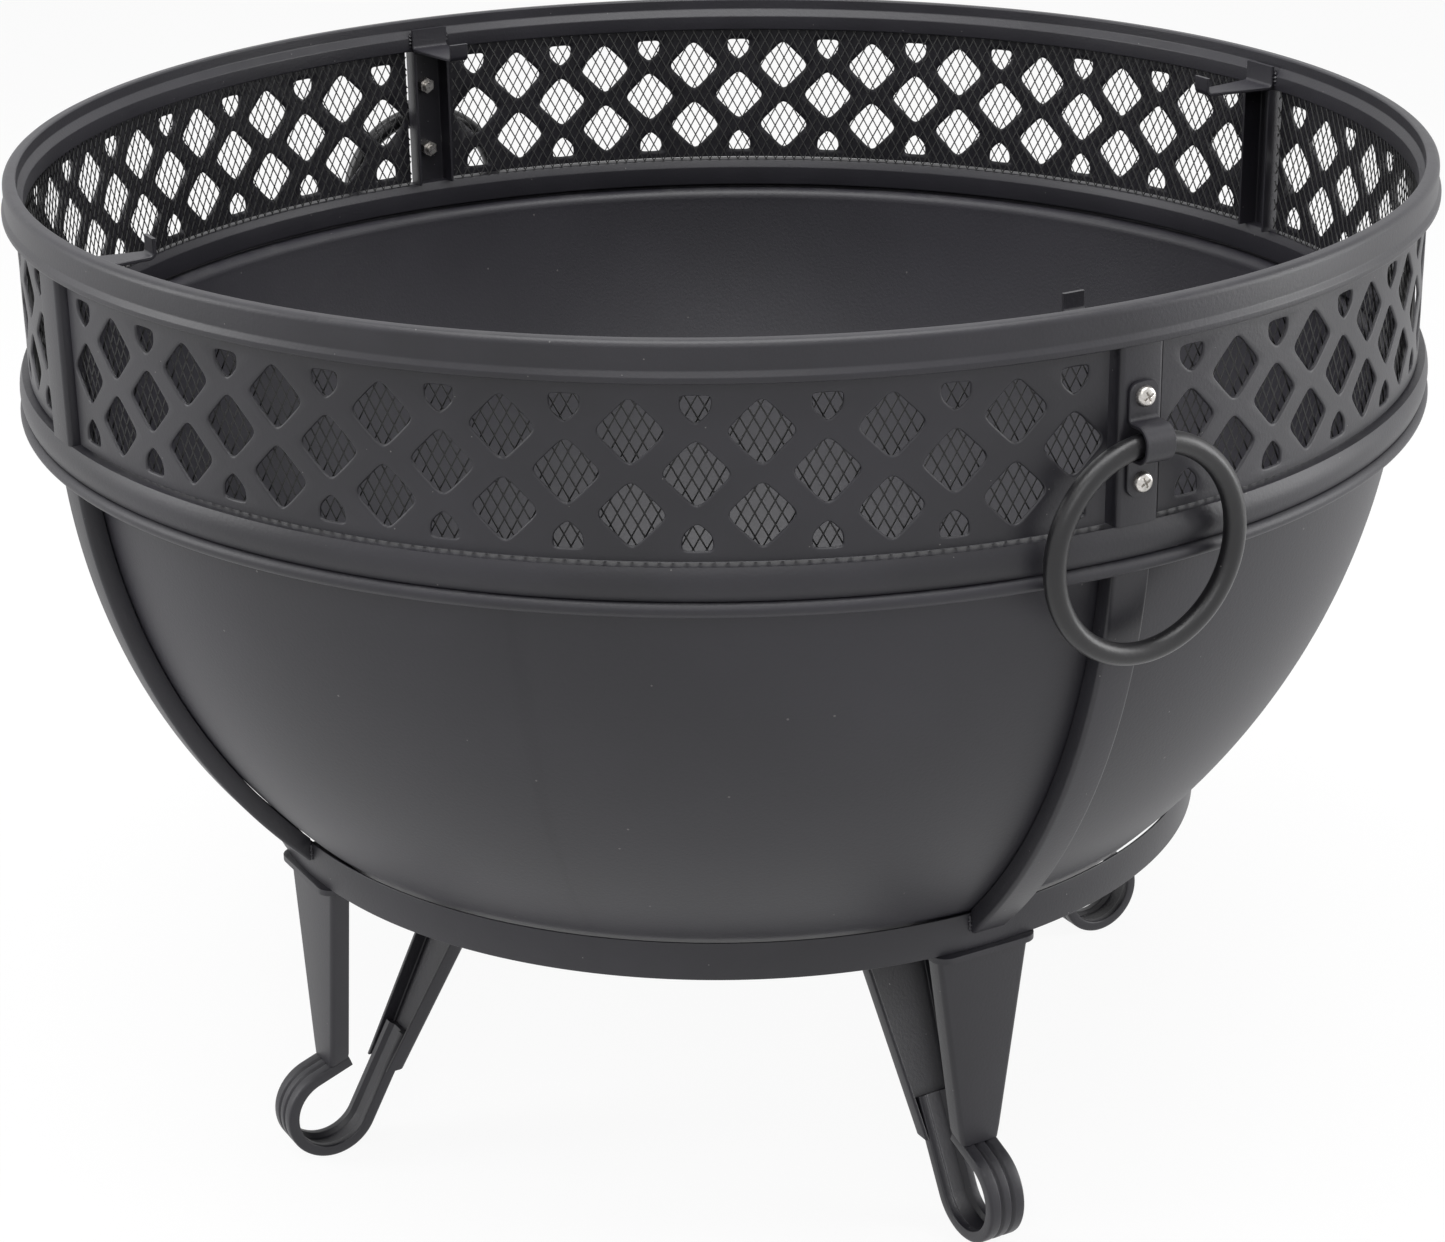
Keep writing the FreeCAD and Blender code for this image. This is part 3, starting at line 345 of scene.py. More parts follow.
bowl = {"radius": 343, "centreRise": 29.8, "sheet": 1.5, "floorRound": 40, "bead": 3.5,
        "seam": 0.4, "segments": 256}
beadLevel = ringBottom - bowl["seam"] - bowl["bead"]
beadLine = outerRadius - bowl["bead"]
sphereLevel = beadLevel + bowl["centreRise"]
floorLevel = boxOf("bowl")[0][2]


def bowlWall(radius, roundRadius, floor, topLevel):
    # (radius, height) from the axis out along the floor, round the corner and up the sphere
    drop = sphereLevel - floor - roundRadius
    cornerLine = math.sqrt((radius - roundRadius) ** 2 - drop ** 2)
    turn = math.atan2(drop, cornerLine)
    flat = np.stack([np.linspace(0, cornerLine, 12), np.full(12, floor)], axis=-1)
    bend = np.linspace(-math.pi / 2, -turn, 12)[1:]
    bend = np.stack([cornerLine + roundRadius * np.cos(bend),
                     floor + roundRadius + roundRadius * np.sin(bend)], axis=-1)
    wall = np.linspace(turn, math.asin((sphereLevel - topLevel) / radius), 64)[1:]
    wall = np.stack([radius * np.cos(wall), sphereLevel - radius * np.sin(wall)], axis=-1)
    return np.concatenate([flat, bend, wall])


outside = bowlWall(bowl["radius"], bowl["floorRound"], floorLevel, beadLevel - 3.2)
inside = bowlWall(bowl["radius"] - bowl["sheet"], bowl["floorRound"] - bowl["sheet"],
                  floorLevel + bowl["sheet"], beadLevel - 4)
roll = np.radians(np.linspace(-150, 155, 22))
roll = np.stack([beadLine + bowl["bead"] * np.cos(roll), beadLevel + bowl["bead"] * np.sin(roll)],
                axis=-1)
shoulder = np.array([[beadLine - 6, beadLevel + 1.6], [beadLine - 9.4, beadLevel + 1.0],
                     [beadLine - 11.2, beadLevel - 0.4], [inside[-1][0] + 0.1, beadLevel - 2]])
bowlOutline = np.concatenate([outside, roll, shoulder, inside[::-1]])
makePiece("bowlShell", [turnedRing(bowlOutline, bowl["segments"])], "frame",
          bowlBlack, ["bowl"])

baseLow, baseHigh = boxOf("base_ring")
baseRadius = baseHigh[0]
baseOutline = roundCorners([
    (baseRadius - 2, baseLow[2]), (baseRadius, baseLow[2]), (baseRadius, baseHigh[2]),
    (baseRadius - 1.2, baseHigh[2]), (baseRadius - 1.2, baseHigh[2] - 5),
    (baseRadius - 2, baseHigh[2] - 8)], 0.45, 4)
makePiece("baseRing", [turnedRing(baseOutline, 256)], "frame", frameBlack,
          ["base_ring"])
print("rings and bowl made")


lattice = {"pitch": 8.9, "halfAngle": 42.72, "rowRise": 18.1, "inset": 6.0, "sheet": 1.4,
           "side": 21.6, "softness": 6.4, "roundIn": 1.1, "edgeSteps": 14,
           "smallRise": 11.2, "smallReach": [4.4, 5.9, 5.9, 6.4, 6.4]}
panelLow, panelHigh = boxOf("lattice_panel_back_right")
panelRadius = outerRadius - lattice["inset"]
panelMiddle = (ringTop - 0.3) + (rimBottom - ringTop) / 2
halfPitch = math.radians(lattice["pitch"] / 2) * panelRadius
halfSpan = math.radians(lattice["halfAngle"]) * panelRadius
panelTop = rimBottom - 0.3 - panelMiddle
panelBottom = ringTop + 1.3 - panelMiddle


def openingReach(direction, sideAngles, sideDistances, softness):
    # distance from the middle of an opening to its edge: a straight-sided outline whose corners
    # are rounded by a power mean of the distances to its sides
    facing = np.cos(direction[:, None] - np.radians(sideAngles))
    near = np.clip(facing / sideDistances, 0, None) ** softness
    return near.sum(axis=1) ** (-1 / softness)


def edgePoints(cornersRound, counts):
    # points spread evenly along each side of a cell
    cornersRound = np.asarray(cornersRound, dtype=float)
    following = np.roll(cornersRound, -1, axis=0)
    sidesOfCell = []
    for start, stop, count in zip(cornersRound, following, counts):
        share = np.linspace(0, 1, count, endpoint=False)[:, None]
        sidesOfCell.append(start + (stop - start) * share)
    return np.concatenate(sidesOfCell)


def piercedCell(middle, boundary, sideAngles, sideDistances, softness, thickness, roundIn):
    # a sheet between a cell's boundary and a rounded opening: each ray from the middle carries
    # the same section, flat outside, curved into the opening and back along the inner face
    ray = boundary - middle
    length = np.hypot(ray[:, 0], ray[:, 1])
    ray = ray / length[:, None]
    reach = openingReach(np.arctan2(ray[:, 1], ray[:, 0]), sideAngles, sideDistances, softness)
    quarter = np.radians([90, 68, 45, 22, 0])
    bend = roundIn * (1 - np.cos(quarter))
    fall = roundIn * (1 - np.sin(quarter))
    room = length - reach
    distance = [room, room * 0.5] + [np.full_like(room, value) for value in bend]
    depth = [0.0, 0.0] + list(fall)
    distance += [room * 0, room * 0 + 0.25, room * 0.5, room]
    depth += [thickness - 0.25, thickness, thickness, thickness]
    distance, depth = np.stack(distance), np.array(depth)
    flat = middle + ray * (reach + distance)[..., None]
    return flat, np.broadcast_to(depth[:, None], distance.shape)


def wrapped(flat, depth, radius, degrees):
    # (along the band, height) with a depth inwards, bent round the pit's axis
    angle = flat[..., 0] / radius + math.radians(degrees)
    reach = radius - depth
    return np.stack([reach * np.cos(angle), reach * np.sin(angle),
                     flat[..., 1] + np.zeros_like(angle)], axis=-1)


def latticeCells():
    # every cell of a panel: (middle, boundary corners, points per side, opening's sides)
    row = lattice["rowRise"]
    steps = lattice["edgeSteps"]
    diamond = ([45, 135, 225, 315], [lattice["side"] / 2] * 4)
    cells = []
    for k in range(-9, 10, 2):
        middle = (k * halfPitch, 0)
        left, right = (k - 1) * halfPitch, (k + 1) * halfPitch
        if k == 9:
            outline = [(left, 0), (middle[0], -row), (halfSpan, -row * 1.65), (halfSpan, row * 1.65),
                       (middle[0], row)]
            counts = [steps, 6, 24, 6, steps]
        elif k == -9:
            outline = [(middle[0], -row), (right, 0), (middle[0], row), (-halfSpan, row * 1.65),
                       (-halfSpan, -row * 1.65)]
            counts = [steps, steps, 6, 24, 6]
        else:
            outline = [(left, 0), (middle[0], -row), (right, 0), (middle[0], row)]
            counts = [steps] * 4
        cells.append((middle, outline, counts, diamond))
        for sign in (1, -1):
            border = panelTop if sign == 1 else panelBottom
            lowLeft = (left, sign * 2 * row) if k > -9 else (-halfSpan, sign * row * 1.65)
            lowRight = (right, sign * 2 * row) if k < 9 else (halfSpan, sign * row * 1.65)
            outline = [lowLeft, (middle[0], sign * row), lowRight,
                       (lowRight[0], border), (lowLeft[0], border)]
            leftSteps = steps if k > -9 else 6
            rightSteps = steps if k < 9 else 6
            counts = [leftSteps, rightSteps, 3, 16, 3]
            facing = [90, 228, 312, 0, 180] if sign == 1 else [270, 132, 48, 0, 180]
            centre = (middle[0], sign * (row + lattice["smallRise"]))
            cells.append((centre, outline, counts, (facing, lattice["smallReach"])))
    for k in range(-8, 9, 2):
        for sign in (1, -1):
            middle = (k * halfPitch, sign * row)
            outline = [((k - 1) * halfPitch, sign * row), (middle[0], 0),
                       ((k + 1) * halfPitch, sign * row), (middle[0], sign * 2 * row)]
            cells.append((middle, outline, [steps] * 4, diamond))
    return cells


def latticePanel(corner, degrees):
    name = "windowPanel_" + corner
    shapes = []
    for middle, outline, counts, (angles, distances) in latticeCells():
        flat, depth = piercedCell(np.array(middle), edgePoints(outline, counts), angles,
                                  np.array(distances), lattice["softness"], lattice["sheet"],
                                  lattice["roundIn"])
        points = wrapped(flat + (0, panelMiddle), depth, panelRadius, degrees)
        faces = gridFaces(points.shape[0], points.shape[1], False, True)
        shapes.append((points.reshape(-1, 3), faces.tolist()))
    piece = makePiece(name, shapes, "frame", frameBlack,
                      ["lattice_panel_" + corner])
    work = bmesh.new()
    work.from_mesh(piece.data)
    border = [edge for edge in work.edges if edge.is_boundary]
    bmesh.ops.bridge_loops(work, edges=border)
    bmesh.ops.recalc_face_normals(work, faces=work.faces)
    work.to_mesh(piece.data)
    work.free()
    piece.data.polygons.foreach_set("use_smooth", np.ones(len(piece.data.polygons), dtype=bool))
    piece.data.set_sharp_from_angle(angle=math.radians(50))
    return piece


screen = {"cellWidth": 5.7, "cellHeight": 10.4, "strand": 0.62, "gauge": 0.4, "tilt": 24,
          "inset": 9.8, "halfAngle": 42.6, "steps": 7}


def expandedScreen(corner, degrees):
    # two families of straight strands that lean opposite ways; each strand is a flat bar whose
    # section is tilted, and is cut off at the ends of the screen
    low, high = boxOf("spark_mesh_" + corner)
    radius = outerRadius - screen["inset"]
    halfLength = math.radians(screen["halfAngle"]) * radius
    tall = high[2] - low[2]
    lean = screen["cellWidth"] / screen["cellHeight"]
    shapes = []
    for way in (1, -1):
        start = np.arange(-halfLength - tall * lean, halfLength + tall * lean, screen["cellWidth"])
        run = np.array([(-halfLength - start) / (way * lean), (halfLength - start) / (way * lean)])
        first = np.clip(run.min(axis=0), 0, tall)
        last = np.clip(run.max(axis=0), 0, tall)
        keep = last - first > 1.5
        start, first, last = start[keep], first[keep], last[keep]
        share = np.linspace(0, 1, screen["steps"])
        height = first[:, None] + (last - first)[:, None] * share
        along = start[:, None] + way * lean * height
        tilt = math.radians(screen["tilt"]) * way
        strandWay = np.array([way * lean, 1]) / math.hypot(lean, 1)
        sideWay = np.array([strandWay[1], -strandWay[0]])
        halfWide, halfThick = screen["strand"] / 2, screen["gauge"] / 2
        section = np.array([(-halfWide, -halfThick), (halfWide, -halfThick),
                            (halfWide, halfThick), (-halfWide, halfThick)])
        wide = section[:, 0] * math.cos(tilt) - section[:, 1] * math.sin(tilt)
        deep = section[:, 0] * math.sin(tilt) + section[:, 1] * math.cos(tilt)
        flat = np.stack([along[..., None] + sideWay[0] * wide,
                         low[2] + height[..., None] + sideWay[1] * wide], axis=-1)
        depth = np.broadcast_to(deep + 0.15 * way, flat.shape[:-1])
        points = wrapped(flat, depth, radius, degrees)
        points[..., 2] = np.clip(points[..., 2], low[2], high[2])
        count, rows, columns = points.shape[:3]
        faces = gridFaces(rows, columns, False, True)
        ends = np.array([[0, 1, 2, 3], [(rows - 1) * 4 + i for i in (3, 2, 1, 0)]])
        faces = np.concatenate([faces, ends])
        offset = (np.arange(count) * rows * columns)[:, None, None]
        shapes.append((points.reshape(-1, 3), (faces + offset).reshape(-1, 4).tolist()))
    return makePiece("sparkScreen_" + corner, shapes, "frame", screenBlackPaintedShade,
                     ["spark_mesh_" + corner])


for corner, degrees in corners.items():
    latticePanel(corner, degrees)
    expandedScreen(corner, degrees)
print("lattice windows and screens made")


def channelSection(width, depth, sheet, bend):
    # a U section: its web lies at outward 0 and its flanges reach to -depth
    half = width / 2
    tip = sheet * 0.25
    way = 1 if depth > 0 else -1
    corner = [(-half, -depth), (-half, 0), (half, 0), (half, -depth), (half - sheet, -depth),
              (half - sheet, -sheet * way), (-half + sheet, -sheet * way), (-half + sheet, -depth)]
    return roundCorners(corner, [tip, bend, bend, tip, tip, bend - sheet * 0.8, bend - sheet * 0.8,
                                 tip], 5)


post = {"width": 22, "depth": 13, "sheet": 1.5, "bend": 2.2}
rib = {"width": 20, "depth": 10, "sheet": 1.5, "bend": 2.0, "lowerEnd": 45.1}
tab = {"rootWidth": 22, "tipWidth": 11, "thickness": 2.0, "bend": 2.5}


def windowPost(side, degrees):
    low, high = boxOf("post_" + side)
    path = np.array([(faceRadius, 0, low[2]), (faceRadius, 0, high[2])])
    section = channelSection(post["width"], post["depth"], post["sheet"], post["bend"])
    shape = spun(carried(path, (0, 1, 0), (1, 0, 0), section), degrees)
    makePiece("windowPost_" + side, [shape], "frame", frameBlack, ["post_" + side])


def bowlRib(side, degrees):
    # the channel follows a circle about the bowl's centre; below the top of the base ring its
    # inner parts are held off the ring's face
    outer = bowl["radius"] + rib["depth"]
    start = math.asin((bowl["centreRise"] + bowl["bead"] + 0.3) / (outer - rib["sheet"]))
    drop = np.linspace(start, math.radians(rib["lowerEnd"]), 60)
    outward = np.stack([np.cos(drop), drop * 0, -np.sin(drop)], axis=-1)
    path = outward * outer + (0, 0, sphereLevel)
    section = channelSection(rib["width"], rib["depth"] - 0.3, rib["sheet"], rib["bend"])
    points, faces = carried(path, (0, 1, 0), outward, section)
    under = points[:, 2] < baseHigh[2] + 0.3
    clear = np.sqrt((baseRadius + 0.3) ** 2 - points[:, 1] ** 2)
    points[:, 0] = np.where(under, np.maximum(points[:, 0], clear), points[:, 0])
    makePiece("bowlRib_" + side, [spun((points, faces), degrees)], "frame",
              frameBlack, ["bowl_rib_" + side])


def bentPath(corners2d, radii, steps=6):
    # an open line in the upright plane through the axis, with rounded bends
    closedLine = roundCorners(corners2d, radii, steps)
    return np.stack([closedLine[:, 0], closedLine[:, 0] * 0, closedLine[:, 1]], axis=-1)


def stripNormals(path):
    # across the strip's thickness: the path's direction turned a quarter in its own plane
    way = np.gradient(path, axis=0)
    way = way / np.linalg.norm(way, axis=1)[:, None]
    return np.stack([way[:, 2], way[:, 1] * 0, -way[:, 0]], axis=-1)


def stripSection(halfWidths, thickness):
    # a flat bar's section for every place along it, with softened edges
    half = np.asarray(halfWidths)[:, None]
    soft = thickness * 0.22
    across = np.array([-1, -1, 1, 1, 1, 1, -1, -1]) * half
    across = across + np.array([0, soft, -soft, 0, 0, -soft, soft, 0])
    up = np.array([-0.5 * thickness + soft, -0.5 * thickness, -0.5 * thickness,
                   -0.5 * thickness + soft, 0.5 * thickness - soft, 0.5 * thickness,
                   0.5 * thickness, 0.5 * thickness - soft])
    return np.stack([across, np.broadcast_to(up, across.shape)], axis=-1)


def pathLength(path):
    step = np.linalg.norm(np.diff(path, axis=0), axis=1)
    return np.concatenate([[0], np.cumsum(step)])


def grateTab(side, degrees):
    low, high = boxOf("grate_tab_right")
    half = tab["thickness"] / 2
    path = bentPath([(high[0] - half, high[2]), (high[0] - half, low[2] + half),
                     (low[0] + half, low[2] + half), (low[0] + half, low[2] + 10)],
                    [0, tab["bend"], tab["bend"], 0])
    reach = np.clip((high[0] - 4 - path[:, 0]) / (high[0] - low[0] - 6), 0, 1)
    width = tab["rootWidth"] + (tab["tipWidth"] - tab["rootWidth"]) * reach
    section = stripSection(width / 2, tab["thickness"])
    shape = spun(carried(path, (0, 1, 0), stripNormals(path), section), degrees)
    makePiece("grateTab_" + side, [shape], "frame", frameBlack, ["grate_tab_" + side])


for side, degrees in sides.items():
    windowPost(side, degrees)
    bowlRib(side, degrees)
    grateTab(side, degrees)
print("posts, ribs and tabs made")


weld = {"radius": 1.0, "lump": 0.35, "pitch": 2.2, "tabSide": (11.6, 11.4), "tabRise": (2, 11),
        "ribSide": 10.4, "ribRise": (-1, 10), "legLine": (246.5, 238), "legSide": (24, 25),
        "legDrop": 4.4}


def weldBead(start, stop):
    # a round bar whose radius rises and falls along its way, like the ripples of a weld
    start, stop = np.array(start, dtype=float), np.array(stop, dtype=float)
    length = np.linalg.norm(stop - start)
    share = np.linspace(0, 1, 19)
    path = start + (stop - start) * share[:, None]
    way = (stop - start) / length
    side = np.cross(way, (0.3, 0.5, 0.81))
    side = side / np.linalg.norm(side)
    other = np.cross(way, side)
    ripple = weld["radius"] + weld["lump"] * np.sin(share * length / weld["pitch"] * 2 * math.pi)
    ripple = ripple * np.clip(np.sin(share * math.pi), 0.05, 1) ** 0.4
    around = np.linspace(0, 2 * math.pi, 8, endpoint=False)
    circle = np.stack([np.cos(around), np.sin(around)], axis=-1)
    return carried(path, side, other, ripple[:, None, None] * circle)


def weldSet(side, degrees):
    # at the grate tab, the lower end of the rib and the top of the leg
    shapes = []
    tabSides, tabRises, ribRises = weld["tabSide"], weld["tabRise"], weld["ribRise"]
    legLines, legSides, legLevel = weld["legLine"], weld["legSide"], baseLow[2] - weld["legDrop"]
    for way in (1, -1):
        shapes.append(weldBead((skirt, way * tabSides[0], rimBottom + tabRises[0]),
                               (skirt, way * tabSides[1], rimBottom + tabRises[1])))
        shapes.append(weldBead((baseRadius, way * weld["ribSide"], baseHigh[2] + ribRises[0]),
                               (baseRadius, way * weld["ribSide"], baseLow[2] + ribRises[1])))
        shapes.append(weldBead((legLines[0], way * legSides[0], legLevel),
                               (legLines[1], way * legSides[1], legLevel)))
    makePiece("weldBeads_" + side, [spun(shape, degrees) for shape in shapes], "frame",
              frameBlack)


for side, degrees in sides.items():
    weldSet(side, degrees)
print("welds made")


leg = {"sheet": 2.0, "bend": 2.6, "topWidth": 52, "innerTopWidth": 46, "footWidth": 21.4,
       "innerFootWidth": 25, "flange": 10, "innerFlange": 8, "lean": 28.7, "plateCorner": 8}
foot = {"radius": 25, "thickness": 6, "width": 20, "groove": 1.5, "flute": 2.4, "leadAngle": 70,
        "lead": 20, "run": 50, "gap": 0.3, "channelEnd": 50}


def taperedChannel(top, bottom, topWidth, bottomWidth, depth):
    # a channel whose section narrows evenly from its top to its bottom
    share = np.linspace(0, 1, 14)[:, None, None]
    wide = channelSection(topWidth, depth, leg["sheet"], leg["bend"])
    narrow = channelSection(bottomWidth, depth, leg["sheet"], leg["bend"])
    path = np.linspace(top, bottom, 14)
    return carried(path, (0, 1, 0), (1, 0, 0), wide * (1 - share) + narrow * share)


def footBar():
    # a bar with two grooves outside and a flute inside: straight down out of the upright
    # channel, round the loop, and straight up along the leaning channel
    wide, thick = foot["width"] / 2, foot["thickness"]
    outline = roundCorners([
        (-wide, -thick), (-wide, 0), (-0.42 * wide, 0), (-0.30 * wide, -foot["groove"]),
        (-0.18 * wide, 0), (0.18 * wide, 0), (0.30 * wide, -foot["groove"]), (0.42 * wide, 0),
        (wide, 0), (wide, -thick), (0.58 * wide, -thick), (0.4 * wide, -thick + foot["flute"]),
        (-0.4 * wide, -thick + foot["flute"]), (-0.58 * wide, -thick),
    ], [1.0, 1.4, 0.9, 0.4, 0.9, 0.9, 0.4, 0.9, 1.4, 1.0, 0.6, 0.8, 0.8, 0.6], 4)
    legLow, legHigh = boxOf("leg_outer_right")
    centre = np.array([legHigh[0] - foot["gap"], 0, foot["radius"]])
    turn = np.radians(np.linspace(-foot["leadAngle"], 180 - leg["lean"], 72))
    outward = np.stack([np.cos(turn), turn * 0, -np.sin(turn)], axis=-1)
    along = np.stack([-np.sin(turn), turn * 0, -np.cos(turn)], axis=-1)
    loop = centre + outward * foot["radius"]
    lead = loop[0] - along[0] * np.linspace(foot["lead"], 0, 6)[:-1, None]
    run = loop[-1] + along[-1] * np.linspace(0, foot["run"], 10)[1:, None]
    path = np.concatenate([lead, loop, run])
    outward = np.concatenate([np.repeat(outward[:1], 5, axis=0), outward,
                              np.repeat(outward[-1:], 9, axis=0)])
    return carried(path, (0, 1, 0), outward, outline)


def wholeLeg(side, degrees):
    low, high = boxOf("leg_outer_right")
    innerLow, innerHigh = boxOf("leg_inner_right")
    front, frontFaces = taperedChannel((high[0], 0, high[2]), (high[0], 0, foot["channelEnd"]),
                                       leg["topWidth"], leg["footWidth"], leg["flange"])
    slope = math.radians(foot["leadAngle"])
    touch = high[0] - foot["gap"] + foot["radius"] * math.cos(slope)
    level = foot["radius"] * (1 + math.sin(slope)) + foot["gap"] / math.sin(slope)
    barLine = level + (touch - front[:, 0]) / math.tan(slope)
    front[:, 2] = np.maximum(front[:, 2], barLine)  # the channel's end is cut along the bar
    back = taperedChannel((innerLow[0], 0, innerHigh[2]),
                          (innerHigh[0] - leg["sheet"] - leg["innerFlange"], 0, innerLow[2]),
                          leg["innerTopWidth"], leg["innerFootWidth"],
                          -leg["innerFlange"] - leg["sheet"])
    parts = {"legFront": ([(front, frontFaces)], "leg_outer_"), "legBack": ([back], "leg_inner_"),
             "legFoot": ([footBar()], "leg_scroll_")}
    for name, (shapes, node) in parts.items():
        shapes = [spun(shape, degrees) for shape in shapes]
        makePiece(name + "_" + side, shapes, "frame", frameBlack, [node + side])
    plateLow, plateHigh = boxOf("leg_plate_right")
    half = plateHigh[1]
    outline = roundCorners([(plateLow[0], -half), (plateHigh[0], -half), (plateHigh[0], half),
                            (plateLow[0], half)], [1, leg["plateCorner"], leg["plateCorner"], 1], 8)
    middle = outline.mean(axis=0)
    levels = np.array([0, 0.5, 3.5, 4.0])
    inward = np.array([0.5, 0, 0, 0.5])
    rows = middle + (outline - middle) * (1 - inward[:, None, None] / 30)
    points = np.concatenate([rows, np.broadcast_to(
        (plateLow[2] + levels)[:, None, None], rows.shape[:2] + (1,))], axis=-1)
    count = len(outline)
    faces = gridFaces(4, count, False, True).tolist()
    faces += [list(range(count)), list(range(3 * count, 4 * count))]
    makePiece("legPlate_" + side, [spun((points.reshape(-1, 3), faces), degrees)], "frame",
              frameBlack, ["leg_plate_" + side])


for side, degrees in sides.items():
    wholeLeg(side, degrees)
print("legs made")


handle = {"strapThickness": 2.0, "loopRadius": 6.6, "bend": 2.6, "halfWidth": 7.5, "corner": 4.8,
          "wire": 5.0, "headRadius": 4.7, "headHeight": 3.0, "screwInset": 6.5,
          "shank": 2.45, "crossHalf": 2.7, "crossArm": 0.62, "crossDepth": 1.5, "crossTurn": 25}


def handleStrap(side, degrees):
    low, high = boxOf("handle_strap_right")
    half = handle["strapThickness"] / 2
    line = low[0] + half
    loopLine = low[0] + handle["loopRadius"]
    level = (low[2] + high[2]) / 2
    reach = handle["loopRadius"] + half
    path = bentPath([(line, high[2]), (line, level + reach), (loopLine + reach, level + reach),
                     (loopLine + reach, level - reach), (line, level - reach), (line, low[2])],
                    [0, handle["bend"], reach, reach, handle["bend"], 0], 10)
    even = pathLength(path)
    place = np.concatenate([np.linspace(0, 6, 12, endpoint=False),
                            np.linspace(6, even[-1] - 6, 60),
                            even[-1] - np.linspace(6, 0, 12, endpoint=False)[1:], [even[-1]]])
    path = np.stack([np.interp(place, even, path[:, i]) for i in range(3)], axis=-1)
    fromEnd = np.minimum(place, even[-1] - place)
    short = np.clip(handle["corner"] - fromEnd, 0, handle["corner"])
    width = handle["halfWidth"] - handle["corner"] + np.sqrt(handle["corner"] ** 2 - short ** 2)
    section = stripSection(width, handle["strapThickness"])
    shape = spun(carried(path, (0, 1, 0), stripNormals(path), section), degrees)
    makePiece("handleStrap_" + side, [shape], "frame", frameBlack,
              ["handle_strap_" + side])


def ringHandle(side, degrees):
    # a round wire bent into a circle in the plane across the strap
    low, high = boxOf("ring_handle_right")
    radius = (high[1] - low[1]) / 2 - handle["wire"]
    centre = (low + high) / 2
    turn = np.linspace(0, 2 * math.pi, 160, endpoint=False)
    outward = np.stack([turn * 0, np.sin(turn), np.cos(turn)], axis=-1)
    around = np.linspace(0, 2 * math.pi, 28, endpoint=False)
    section = np.stack([np.cos(around), np.sin(around)], axis=-1) * handle["wire"]
    path = centre * (1, 0, 1) + outward * radius
    shape = spun(carried(path, (1, 0, 0), outward, section, closed=True), degrees)
    makePiece("ringHandle_" + side, [shape], side + "_handle", handleBlack,
              ["ring_handle_" + side])


def screwHead(level, face):
    # a pan head as height over (distance from the middle, angle), less a cross-shaped recess
    rings, spokes = 26, 96
    out = np.linspace(0, 1, rings)[:, None] * handle["headRadius"]
    angle = np.linspace(0, 2 * math.pi, spokes, endpoint=False)[None]
    across, up = out * np.cos(angle), out * np.sin(angle)
    dome = handle["headHeight"] * (1 - (out / handle["headRadius"]) ** 2 * 0.18)
    dome = dome * np.clip((1 - (out / handle["headRadius"]) ** 9), 0, 1) ** 0.5
    spin = math.radians(handle["crossTurn"])
    u = across * math.cos(spin) + up * math.sin(spin)
    v = up * math.cos(spin) - across * math.sin(spin)
    reach, half = handle["crossHalf"], handle["crossArm"]
    arm = np.minimum(np.maximum(np.abs(u) - reach, np.abs(v) - half),
                     np.maximum(np.abs(v) - reach, np.abs(u) - half))
    cut = np.clip(-arm / 0.35, 0, 1)
    height = dome - cut * (handle["crossDepth"] - 0.25 * out)
    height[-1] = 0
    points = np.stack([face + height, across + 0 * height, level + up + 0 * height], axis=-1)
    points = np.concatenate([points, points[-1:] - (0.4, 0, 0)])
    faces = gridFaces(rings + 1, spokes, False, True).tolist()
    faces.append([rings * spokes + i for i in range(spokes)])
    return points.reshape(-1, 3), faces


def handleScrews(side, degrees):
    low, high = boxOf("handle_strap_right")
    screwLow = boxOf("handle_screws_right")[0]
    face = low[0] + handle["strapThickness"]
    shapes = []
    for level in (high[2] - handle["screwInset"], low[2] + handle["screwInset"]):
        shapes.append(screwHead(level, face))
        around = np.linspace(0, 2 * math.pi, 20, endpoint=False)
        section = np.stack([np.cos(around), np.sin(around)], axis=-1) * handle["shank"]
        path = np.array([(screwLow[0], 0, level), (face - 0.2, 0, level)])
        shapes.append(carried(path, (0, 1, 0), (0, 0, 1), section))
    shapes = [spun(shape, degrees) for shape in shapes]
    makePiece("strapScrews_" + side, shapes, "frame", zinc, ["handle_screws_" + side], 30)


for side in ("right", "left"):
    handleStrap(side, sides[side])
    ringHandle(side, sides[side])
    handleScrews(side, sides[side])
print("handles made")


grate = {"edge": 0.8}
grateLow, grateHigh = boxOf("log_grate_ring")
grateOutline = roundCorners([(grateHigh[0] - 10, grateLow[2]), (grateHigh[0], grateLow[2]),
                             (grateHigh[0], grateHigh[2]), (grateHigh[0] - 10, grateHigh[2])],
                            grate["edge"], 3)
makePiece("logGrateRing", [turnedRing(grateOutline, 128)], "log_grate", ironBlack,
          ["log_grate_ring"])
for node in ("log_grate_bars", "log_grate_feet"):
    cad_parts[node].data.materials.clear()
    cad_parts[node].data.materials.append(ironBlack)
for side in ("right", "left"):
    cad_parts["handle_nuts_" + side].data.materials.clear()
    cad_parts["handle_nuts_" + side].data.materials.append(zinc)
print("log grate made")


floorSize = 14
floorMesh = bpy.data.meshes.new("floor")
floorMesh.from_pydata([(-floorSize, -floorSize, 0), (floorSize, -floorSize, 0),
                       (floorSize, floorSize, 0), (-floorSize, floorSize, 0)], [], [(0, 1, 2, 3)])
floor = bpy.data.objects.new("floor", floorMesh)
bpy.context.scene.collection.objects.link(floor)


def seenRay(finish):
    # 1 for a ray that the eye or a glossy surface sees, 0 for one that only carries light
    eye = finish.node("ShaderNodeLightPath", {}, {}, "Is Camera Ray")
    return eye + finish.node("ShaderNodeLightPath", {}, {}, "Is Glossy Ray")


